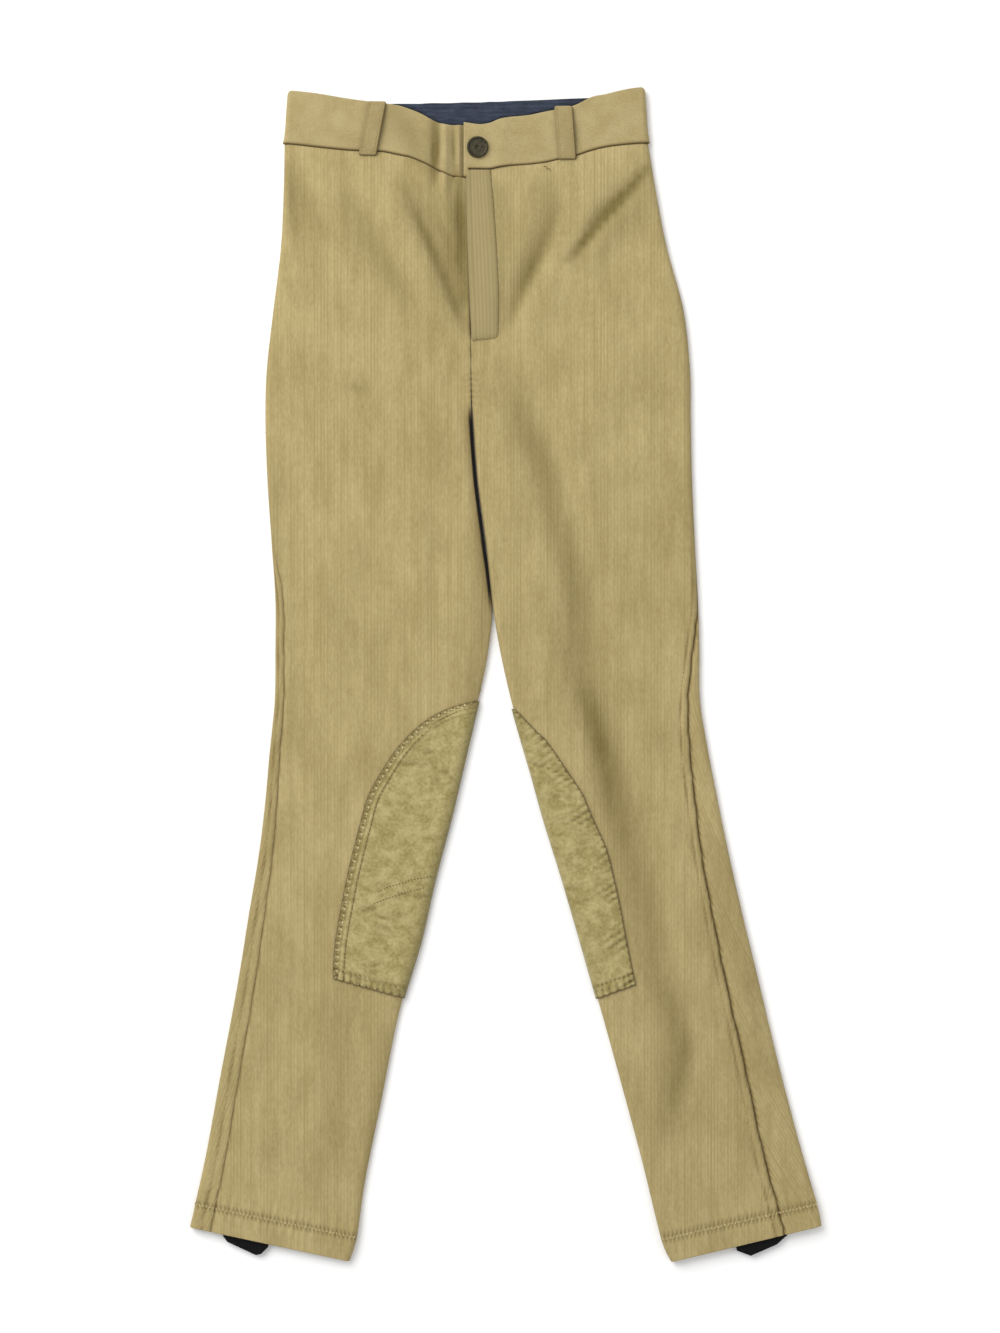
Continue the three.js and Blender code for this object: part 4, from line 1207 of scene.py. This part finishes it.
loopForm = {
    "width": 13.5, "long": 40, "step": 0.7, "rowStep": 1.4, "stand": 0.9, "tilt": -0.05,
    "corner": 1.7, "layerGap": 0.45, "rise": 1.4, "wall": 1.1, "roll": 0.7, "endRoll": 1.1,
    "lift": 1.3, "liftFrom": 0.1, "stitchIn": 2.1, "stitchDip": 0.3, "stitchHalf": 0.7,
    "seamOver": 1, "seamRun": 3, "shade": 0.85, "outerHalf": 0.9, "innerShade": 0.35,
    "innerHalf": 0.7, "footShade": 0.7, "footHalf": 0.8, "most": 0.9,
    "right": {"topX": -96, "topY": 428.5, "lowX": -103.5, "lowY": 388},
    "left": {"topX": 43, "topY": 425, "lowX": 46, "lowY": 385},
}


def loopPlace(side, share, aside):
    loop = loopForm[side]
    x = mix(loop["topX"], loop["lowX"], share) + aside
    y = mix(loop["topY"], loop["lowY"], share)
    return x, y + aside / loopForm["width"] * (loop["topX"] - loop["lowX"]) * loopForm["tilt"]


def loopHeight(side, share, aside):
    f = loopForm
    x, y = loopPlace(side, share, aside)
    seam = across(waists[side], "frontSeam", x)
    z = bandTop(x, y) + fineHeight(x, y) + f["layerGap"] + f["rise"]
    z = z - bandForm["proud"] * smooth((seam + f["seamOver"] - y) / f["seamRun"])
    z = z + f["stand"] * np.sin(np.pi * share)
    lifted = np.sin(np.pi * np.clip(share * (1 - f["liftFrom"]) + f["liftFrom"], 0, 1))
    z = z + f["lift"] * smooth(aside / f["width"] + 0.5) * lifted
    z = z - rolled(f["width"] / 2 - np.abs(aside), f["roll"])
    z = z - rolled(share * f["long"], f["endRoll"]) - rolled((1 - share) * f["long"], f["endRoll"])
    fromStitch = np.abs(aside) - f["width"] / 2 + f["stitchIn"]
    return z - f["stitchDip"] * bell(fromStitch, f["stitchHalf"])


def beltLoop(side):
    f = loopForm
    aside = closeEnds(-f["width"] / 2, f["width"] / 2, f["step"])
    shares = closeEnds(0, f["long"], f["rowStep"]) / f["long"]
    grid = []
    for share in shares:
        narrow = 1 - rolled(min(share, 1 - share) * f["long"], f["corner"]) * 2 / f["width"]
        x, y = loopPlace(side, share, aside * narrow)
        grid.append(np.stack([x, y, loopHeight(side, share, aside)], axis=-1))
    grid = np.array(grid)
    # painted shadow along the loop's edges, darkest on its right, and across its foot
    rim = bell(f["width"] / 2 - aside, f["outerHalf"])
    rim = rim + f["innerShade"] * bell(f["width"] / 2 + aside, f["innerHalf"])
    foot = f["footShade"] * bell((1 - shares) * f["long"], f["footHalf"])
    seam = np.clip(f["shade"] * rim[None] + foot[:, None], 0, f["most"])
    piece = placedSheet("cloth_belt_loop_" + side, grid, {"seam": seam}, f["wall"])
    dress(piece, "loop", "belt_loop_" + side)


beltLoop("right")
beltLoop("left")
print("fly and belt loops ready")


# Knee patches

patchForm = {
    "layerGap": 0.45, "rise": 1.1, "wall": 0.9, "tipGap": 0.3, "roll": 0.8, "down": 150,
    "columns": (0, 0.12, 0.35, 0.7, 1.1, 1.7, 2.3, 2.9, 3.5, 4.1, 4.7, 5.1, 5.4, 5.7, 6.2, 7.0,
                7.8, 8.3, 8.6, 8.9, 9.4, 10.4),
    "columnStep": 2.1, "widest": 66, "fullReach": 30, "nap": 0.06, "napLengths": (2.3, 3.7, 2.9, 4.3),
    "pucker": 0.4, "puckerLength": 5.2, "puckerDrift": 5, "puckerHalf": 7,
    # Sewn rows and the bound edge on the right patch
    "rowsIn": (5.4, 8.6), "rowDip": 0.45, "rowHalf": 0.75, "rowDark": (0.1, 0.85),
    "rowDarkHalf": 0.6, "cord": 0.35, "cordHalf": 1.9, "binding": 0.6, "bindingLength": 5.2,
    "bindingRoll": 0.8, "slant": 0.6, "slantShade": 0.75, "slantFade": 1.5,
    # Gathers on the left patch
    "gather": 0.75, "gatherLength": 5.3, "gatherLean": 0.35, "gatherRoll": 1.2, "gatherShade": 0.55,
    "gatherIn": 11, "gatherInUneven": (1.1, 0.6, 7.3), "gatherTurn": (1.6, 9),
    "gatherUneven": (0.65, 0.35, 5.1),
    # Shade along the edges and in the holes of the sewing
    "edgeShade": 0.8, "edgeHalf": 0.7, "scallop": (1.0, 0.6), "scallopLength": 3.2,
    "holePitch": 3.4, "footIn": {"right": 7.4, "left": 9}, "footShade": 0.9, "footHalf": 0.9,
    "footGather": 0.35, "footFade": 3, "dipShade": {"right": 1.6, "left": 0.9}, "dipFrom": 0.1,
    "inseamShade": {"right": 0.75, "left": 0.2}, "inseamHalf": 6,
}


# Short level wrinkles scattered over a patch
wrinkleForm = {
    "count": 26, "seed": {"right": 5, "left": 8}, "place": (2.2, 10), "share": (0.25, 0.9),
    "long": (3, 8), "lean": (-0.25, 0.35), "bow": (-0.8, 0.8), "depth": (-0.6, -0.2),
    "half": (1.1, 2.2), "shoulder": 0.4,
}


def patchWrinkles(side):
    f = wrinkleForm
    chance = random.Random(f["seed"][side])
    rows = []
    for _ in range(f["count"]):
        place, share, long, lean, bow, depth, half = (
            chance.uniform(*f[key]) for key in ("place", "share", "long", "lean", "bow", "depth", "half"))
        x, y = patchPoints(side, np.array([place]), np.array([share]), 0)[0][:2]
        rows.append([x - long, y - long * lean, x, y + bow, x + long, y + long * lean,
                     depth, half, f["shoulder"]])
    return table("x1 y1 x2 y2 x3 y3 depth half shoulder", rows)


patchRows = {
    "right": table("edgeAt sideAt reach", [
        [9.80, 9.80, 4],
        [10.05, 9.97, 23],
        [10.35, 10.24, 39],
        [10.85, 10.66, 52.5],
        [11.35, 11.14, 60.5],
        [11.90, 11.69, 66],
        [12.45, 12.27, 66.5],
        [13.00, 12.87, 66],
        [13.55, 13.45, 65.5],
        [14.10, 14.03, 64],
        [14.50, 14.45, 60],
        [14.81, 14.70, 56],
    ]),
    "left": table("edgeAt sideAt reach", [
        [9.94, 9.94, 3],
        [10.35, 10.30, 13],
        [10.60, 10.51, 19.5],
        [11.00, 10.91, 26],
        [11.60, 11.54, 34],
        [12.10, 12.06, 36.5],
        [12.65, 12.62, 39.5],
        [13.15, 13.13, 38.5],
        [13.60, 13.58, 37],
        [14.10, 14.07, 34.5],
        [14.55, 14.54, 32.5],
        [14.78, 14.71, 32],
    ]),
}


# Points on a patch: place counts its table's rows, share runs from its curved edge
def patchPoints(side, place, share, out):
    patch = patchRows[side]
    row = mix(along(patch, "sideAt", place), along(patch, "edgeAt", place), share)
    section = LegSection(side, row)
    end = section.reach(1)
    start = end - along(patch, "reach", place)
    return section.points(mix(start, end - patchForm["tipGap"], share), out)


# Columns at set distances in from the curved edge, where its sewing is, and even ones beyond
def patchGrid(side):
    f = patchForm
    places = np.interp(np.arange(f["down"] + 1) / f["down"], [0, 0.01, 0.03, 0.97, 0.985, 1],
                       [0, 0.04, 0.2, 10.82, 10.93, 11])[:, None]
    reach = along(patchRows[side], "reach", places)
    near = np.array(f["columns"])
    beyond = np.arange(1, int((f["widest"] - near[-1]) / f["columnStep"]) + 1)
    full = np.minimum(1, reach / f["fullReach"])
    far = near[-1] * full + beyond / beyond[-1] * (reach - near[-1] * full)
    share = np.concatenate([near * full, far], axis=1) / reach
    return patchPoints(side, places, share, f["layerGap"] + f["rise"])


def kneePatch(side):
    f = patchForm
    grid = patchGrid(side)
    x, y = grid[..., 0], grid[..., 1]
    border = np.concatenate([grid[0], grid[:, 0], grid[-1]])
    away = np.array([np.linalg.norm(line[:, None] - border[None], axis=-1).min(axis=1)
                     for line in grid])
    fromCurve, fromFoot, fromInseam = (np.linalg.norm(grid - line, axis=-1)
                                       for line in (grid[:, :1], grid[-1:], grid[:, -1:]))
    edge = np.diff(grid[:, 0], axis=0, prepend=grid[:1, 0])
    down = np.cumsum(np.linalg.norm(edge, axis=-1))[:, None]

    a, b, c, d = f["napLengths"]
    rise = f["nap"] * np.sin(x / a + 2 * np.sin(y / b)) * np.sin(y / c + 1.5 * np.sin(x / d))
    rise = rise - rolled(away, f["roll"]) + creaseHeight(patchWrinkles(side), x, y)
    drift = np.sin(fromCurve / f["puckerDrift"])
    pucker = sine(fromCurve, f["puckerLength"], drift)
    rise = rise + f["pucker"] * pucker * bell(fromFoot, f["puckerHalf"])
    if side == "right":
        seam = f["edgeShade"] * bell(away, f["edgeHalf"])
        first, second = f["rowsIn"]
        for line in (first, second):
            rise = rise - f["rowDip"] * bell(away - line, f["rowHalf"])
        rise = rise + f["cord"] * bell(away - (first + second) / 2, f["cordHalf"])
        binding = sine(down, f["bindingLength"]) * smooth(1 - fromCurve / first)
        rise = rise + f["binding"] * binding * smooth(away / f["bindingRoll"])
        slant = 0.5 + 0.5 * sine(down + f["slant"] * fromCurve, f["bindingLength"])
        seam = seam + f["slantShade"] * slant ** 3 * smooth((first - fromCurve) / f["slantFade"])
        spots = 0.5 + 0.5 * sine(down, f["holePitch"], 0.8 * np.sin(down / 6))
        # painted shade in the needle holes along the two sewn rows
        for line, dark in zip(f["rowsIn"], f["rowDark"]):
            seam = seam + dark * spots * bell(fromCurve - line, f["rowDarkHalf"])
        gathered = 0
    else:
        most, swing, over = f["gatherInUneven"]
        reachIn = f["gatherIn"] * (most + swing * np.sin(down / over))
        swing, over = f["gatherTurn"]
        lying = down - f["gatherLean"] * fromCurve
        gathers = sine(lying, f["gatherLength"], swing * np.sin(down / over))
        most, swing, over = f["gatherUneven"]
        gathers = gathers * (most + swing * np.sin(down / over + 1)) * bell(fromCurve, reachIn)
        rise = rise + f["gather"] * gathers * smooth(away / f["gatherRoll"])
        rise = rise - f["rowDip"] * bell(fromFoot - f["footIn"][side], f["rowHalf"])
        scallops = f["scallop"][0] + f["scallop"][1] * sine(down, f["scallopLength"])
        seam = f["edgeShade"] * bell(away, scallops)
        gathered = f["gatherShade"] * np.maximum(-gathers, 0)
    footIn = f["footIn"][side]
    holes = 0.5 + 0.5 * sine(fromCurve, f["holePitch"])
    seam = seam + f["footShade"] * bell(fromFoot - footIn, f["footHalf"]) * holes
    between = 0.5 + 0.5 * sine(fromCurve, f["puckerLength"], drift + np.pi)
    seam = seam + f["footGather"] * between ** 3 * smooth((footIn - fromFoot) / f["footFade"])
    fold = f["dipShade"][side] * np.maximum(-rise - f["dipFrom"], 0)
    fold = np.clip(fold + f["inseamShade"][side] * bell(fromInseam, f["inseamHalf"]), 0, 1)
    attributes = {"seam": np.clip(seam, 0, 1), "fold": np.clip(fold + gathered, 0, 1)}
    grid[..., 2] += rise
    piece = placedSheet("suede_patch_" + side, grid, attributes, f["wall"], merge=True)
    dress(piece, "suede", "knee_patch_" + side)


kneePatch("right")
kneePatch("left")
print("knee patches ready")


# Under-shoe elastics

elasticForm = {
    "bottom": 2.6, "layer": 1.0, "apart": 0.08, "bevel": 0.3, "shorter": 0.7, "shorterBelow": -415,
    "flat": (0.044, 0.07),
    "right": [(-216, -399), (-211.5, -421), (-208.5, -425), (-187, -435), (-183, -434),
              (-178, -429), (-173, -405)],
    "left": [(168, -406), (173, -431.5), (183.5, -435.5), (203, -427), (208, -422.5),
             (211, -420), (213, -397)],
}


def elastic(side):
    # A tape folded back on itself: two thin layers, the lower one a little shorter
    f = elasticForm
    bm = bmesh.new()
    for layer in (0, 1):
        z = f["bottom"] + layer * (f["layer"] + f["apart"])
        corners = []
        for x, y in f[side]:
            up = f["shorter"] if layer == 0 and y < f["shorterBelow"] else 0
            corners.append(bm.verts.new(Vector((x, y + up, z)) * mm))
        made = bmesh.ops.extrude_face_region(bm, geom=[bm.faces.new(corners)])
        verts = [item for item in made["geom"] if isinstance(item, bmesh.types.BMVert)]
        bmesh.ops.translate(bm, verts=verts, vec=(0, 0, f["layer"] * mm))
    bmesh.ops.recalc_face_normals(bm, faces=bm.faces)
    bmesh.ops.bevel(bm, geom=bm.edges[:], offset=f["bevel"] * mm, segments=2, profile=0.5,
                    affect="EDGES", material=-1)
    piece = newPiece("elastic_" + side, bm)
    dress(piece, "elastic", "stirrup_" + side)


elastic("right")
elastic("left")


# Snap

snapForm = {"x": -21, "y": 394, "radius": 8, "height": 2.4, "base": 8.74, "steps": 56, "weld": 0.03}


def snap():
    f = snapForm
    r, h = f["radius"], f["height"]
    profile = [
        (0.02, 0), (r - 0.9, 0), (r - 0.3, 0.15), (r, 0.5), (r, h - 1.0), (r - 0.12, h - 0.5),
        (r - 0.4, h - 0.15), (r - 0.75, h), (r - 1.15, h - 0.08), (r - 1.5, h - 0.35),
        (r - 1.9, h - 0.75), (r - 2.5, h - 0.85), (3.2, h - 0.6), (1.9, h - 0.5), (1.45, h - 0.62),
        (1.15, h - 0.95), (0.7, h - 1.15), (0.3, h - 1.2), (0.02, h - 1.2),
    ]
    bm = bmesh.new()
    verts = [bm.verts.new(Vector((f["x"] + a, f["y"], f["base"] + b)) * mm) for a, b in profile]
    edges = [bm.edges.new(pair) for pair in zip(verts, verts[1:])]
    centre = Vector((f["x"], f["y"], f["base"])) * mm
    bmesh.ops.spin(bm, geom=verts + edges, cent=centre, axis=(0, 0, 1), angle=2 * math.pi,
                   steps=f["steps"], use_merge=True)
    bmesh.ops.remove_doubles(bm, verts=bm.verts, dist=f["weld"] * mm)
    holes = [edge for edge in bm.edges if edge.is_boundary]
    if holes:
        bmesh.ops.holes_fill(bm, edges=holes, sides=0)
    bmesh.ops.recalc_face_normals(bm, faces=bm.faces)
    for face in bm.faces:
        face.smooth = True
    dress(newPiece("snap", bm), "brass", "snap_cap")


snap()
print("elastics and snap ready")


# Sewing

threadForm = {"sides": 6, "rings": 4, "lift": 0.12, "across": 0.62, "high": 0.5}
stitches = {
    "side": {"pitch": 3.1, "length": 2.3},
    "hem": {"pitch": 2.7, "length": 1.5, "zigzag": 1.1, "thick": 1.4, "material": "paleThread"},
    "edgeRight": {"pitch": 2.6, "length": 1.7, "zigzag": 1.8, "material": "threadAndHoleShade"},
    "edgeLeft": {"pitch": 2.6, "length": 1.7, "zigzag": 0.7, "material": "threadAndHoleShade"},
    "beads": {"pitch": 5.2, "length": 2.2, "thick": 2.7, "material": "paleThread"},
    "patchRow": {"pitch": 2.6, "length": 1.3, "thick": 1.1, "material": "threadAndHoleShade"},
    "patchFoot": {"pitch": 2.6, "length": 1.3, "material": "threadAndHoleShade"},
    "pair": {"pitch": 2.4, "length": 1.3, "thick": 1.3, "material": "threadAndHoleShade"},
    "flySide": {"pitch": 2.6, "length": 1.9, "thick": 0.7},
    "flyFoot": {"pitch": 2.4, "length": 1.8},
    "loop": {"pitch": 2.5, "length": 1.9, "thick": 0.85},
    "lining": {"pitch": 4.2, "length": 2.0, "thick": 0.55, "material": "navyThread"},
    "tack": {"pitch": 1.6, "length": 1.3, "zigzag": 0.7, "material": "threadAndHoleShade"},
}
sideSewing = {"from": 7.6, "to": 18.96, "steps": 260}
hemSewing = {"in": 1, "out": 0.3, "lowest": 0.3, "steps": 240}
patchSewing = {
    "steps": 200, "footSteps": 60, "from": 0.25, "to": 10.9, "edgeIn": {"right": 2.6, "left": 0.5},
    "edgeSunk": 0.15, "endSunk": 0.2, "beadsFrom": 0.5, "beadsTo": 10.6, "beadsIn": 3.5,
    "beadsSunk": 0.1, "rowFrom": 0.9, "rowEnd": 17, "rowSunk": 0.3, "footAt": 10.47,
}
# Two short rows of needle holes across the right patch, drawn as dark stitches that paint the shade in
# the holes
patchPair = {
    "upper": [(-96, -162.6), (-87, -158.8), (-75.9, -155.8), (-71.1, -153.8), (-65.5, -152.8),
              (-53.8, -150.8)],
    "lower": [(-98.8, -171.6), (-91.3, -168.6), (-83.1, -166), (-76.6, -163.6), (-69.6, -161.8),
              (-60, -159.4)],
    "out": 1.62,
}
flySewing = {"end": 2, "footIn": 2.2, "share": 0.955, "overFrom": 0.06, "overTo": 0.94}
loopSewing = {"from": 0.04, "to": 0.96, "steps": 50}
liningSewing = {"from": -86, "to": 60, "steps": 140, "down": 3.2}
tackForm = {"place": [(28.5, 380.2), (34.8, 376.2)], "out": 0.1}


# Separate stitches along a path of points in millimetres, joined in one piece
def stitchLine(name, path, pitch, length, material="thread", zigzag=0.0, thick=1.0):
    f = threadForm
    far = np.concatenate([[0], np.cumsum(steps(path, 0))])
    bm = bmesh.new()

    def at(distance):
        return Vector([float(np.interp(distance, far, path[:, k])) for k in range(3)])

    for n in range(int((far[-1] - length) / pitch) + 1):
        start, end = at(n * pitch), at(n * pitch + length)
        direction = (end - start).normalized()
        side = direction.cross(Vector((0, 0, 1))).normalized()
        swing = zigzag * (1 if n % 2 else -1)
        start, end = start - side * swing, end + side * swing
        direction = (end - start).normalized()
        side = direction.cross(Vector((0, 0, 1))).normalized()
        up = side.cross(direction)
        size = Vector((f["across"] * thick, f["high"] * thick, (end - start).length)) / 2
        turn = Matrix((side, up, direction)).transposed().to_4x4()
        middle = (start + end) / 2 + up * f["lift"]
        place = Matrix.Translation(middle * mm) @ turn @ Matrix.Diagonal((*(size * mm), 1))
        bmesh.ops.create_uvsphere(bm, u_segments=f["sides"], v_segments=f["rings"], radius=1,
                                  matrix=place)
    for face in bm.faces:
        face.smooth = True
    dress(newPiece(name, bm), material)


def seamStitch(side):
    f = sideSewing
    section = LegSection(side, np.linspace(f["from"], f["to"], f["steps"]))
    path = section.points(topstitchPlace(section), 0)
    stitchLine("thread_side_seam_" + side, path, **stitches["side"])


def hemStitch(side):
    f = hemSewing
    section = LegSection(side, legForm["hemRow"])
    lengths = np.linspace(f["in"] - section.reach(-1), section.reach(1) - f["in"], f["steps"])
    path = section.points(lengths, f["out"])
    # Underneath, the stitches are pressed into the cloth
    path[:, 2] = np.maximum(path[:, 2], f["lowest"])
    stitchLine("thread_hem_" + side, path, **stitches["hem"])


def patchStitches(side):
    f, patch = patchSewing, patchForm
    top = patch["layerGap"] + patch["rise"]
    last = len(patchRows[side]["reach"]) - 1

    def overFoot(place, start, end, sunk):
        share = np.linspace(start, end, f["footSteps"])
        return patchPoints(side, np.full(f["footSteps"], place), share, top - sunk)

    reach = along(patchRows[side], "reach", np.linspace(f["from"], last, f["steps"]))
    curve = patchPoints(side, np.linspace(f["from"], f["to"], f["steps"]),
                        f["edgeIn"][side] / reach, top - f["edgeSunk"])
    edge = np.concatenate([curve, overFoot(f["to"], 0.02, 0.99, f["endSunk"])])
    stitchLine("thread_patch_edge_" + side, edge, **stitches["edge" + side.capitalize()])
    if side == "left":
        foot = overFoot(f["footAt"], 0.05, 0.97, f["rowSunk"])
        stitchLine("thread_patch_foot_left", foot, **stitches["patchFoot"])
        return
    place = np.linspace(f["beadsFrom"], f["beadsTo"], f["steps"])
    share = f["beadsIn"] / along(patchRows[side], "reach", place)
    beads = patchPoints(side, place, share, top - f["beadsSunk"])
    stitchLine("thread_patch_beads", beads, **stitches["beads"])
    inside = patch["rowsIn"][1]
    place = np.linspace(f["rowFrom"], last - inside / f["rowEnd"], f["steps"])
    share = inside / along(patchRows[side], "reach", place)
    inner = np.concatenate([patchPoints(side, place, share, top - f["rowSunk"]),
                            overFoot(place[-1], share[-1], 0.98, f["rowSunk"])])
    stitchLine("thread_patch_line_right_0", inner, **stitches["patchRow"])


# A path over the cloth through a few points, extra above it
def groundPath(points, extra):
    points = np.array(points, float)
    far = np.concatenate([[0], np.cumsum(steps(points, 0))])
    fine = np.linspace(0, far[-1], max(int(far[-1] / 1.5), 2))
    x, y = (np.interp(fine, far, points[:, k]) for k in (0, 1))
    return np.stack([x, y, surfaceHeight(x, y) + extra], axis=-1)


def loopStitches(side):
    f = loopForm
    share = np.linspace(loopSewing["from"], loopSewing["to"], loopSewing["steps"])
    for name, aside in (("outer", f["stitchIn"] - f["width"] / 2),
                        ("inner", f["width"] / 2 - f["stitchIn"])):
        path = np.stack([*loopPlace(side, share, aside), loopHeight(side, share, aside)], axis=-1)
        stitchLine("thread_loop_" + side + "_" + name, path, **stitches["loop"])


def liningStitches():
    f = liningSewing
    x = np.linspace(f["from"], f["to"], f["steps"])
    z = np.full(f["steps"], liningForm["top"])
    path = np.stack([x, waistAt("backTop", x) - f["down"], z], axis=-1)
    stitchLine("thread_lining", path, **stitches["lining"])


def flyStitches():
    f = flySewing
    down = flyPath(np.linspace(1, flyLength - f["end"], 90), np.full(90, f["share"]))
    stitchLine("thread_fly_right", down, **stitches["flySide"])
    over = np.linspace(f["overFrom"], f["overTo"], 30)
    foot = flyPath(np.full(30, flyLength - f["footIn"]), over)
    stitchLine("thread_fly_foot", foot, **stitches["flyFoot"])


for side in ("right", "left"):
    seamStitch(side)
    hemStitch(side)
    patchStitches(side)
for which in ("upper", "lower"):
    path = groundPath(patchPair[which], patchPair["out"])
    stitchLine("hole_shade_patch_pair_" + which, path, **stitches["pair"])
flyStitches()
loopStitches("right")
loopStitches("left")
liningStitches()
stitchLine("thread_tack", groundPath(tackForm["place"], tackForm["out"]), **stitches["tack"])
print("sewing ready")


# Floor

floorForm = {"size": 6, "down": 0.3}      # metres out from the middle, millimetres down


def floorSheet():
    bm = bmesh.new()
    bmesh.ops.create_grid(bm, x_segments=2, y_segments=2, size=floorForm["size"])
    bmesh.ops.translate(bm, verts=bm.verts, vec=(0, 0, -floorForm["down"] * mm))
    floor = newPiece("floor", bm)
    floor.data.materials.append(materials["floor"])


floorSheet()
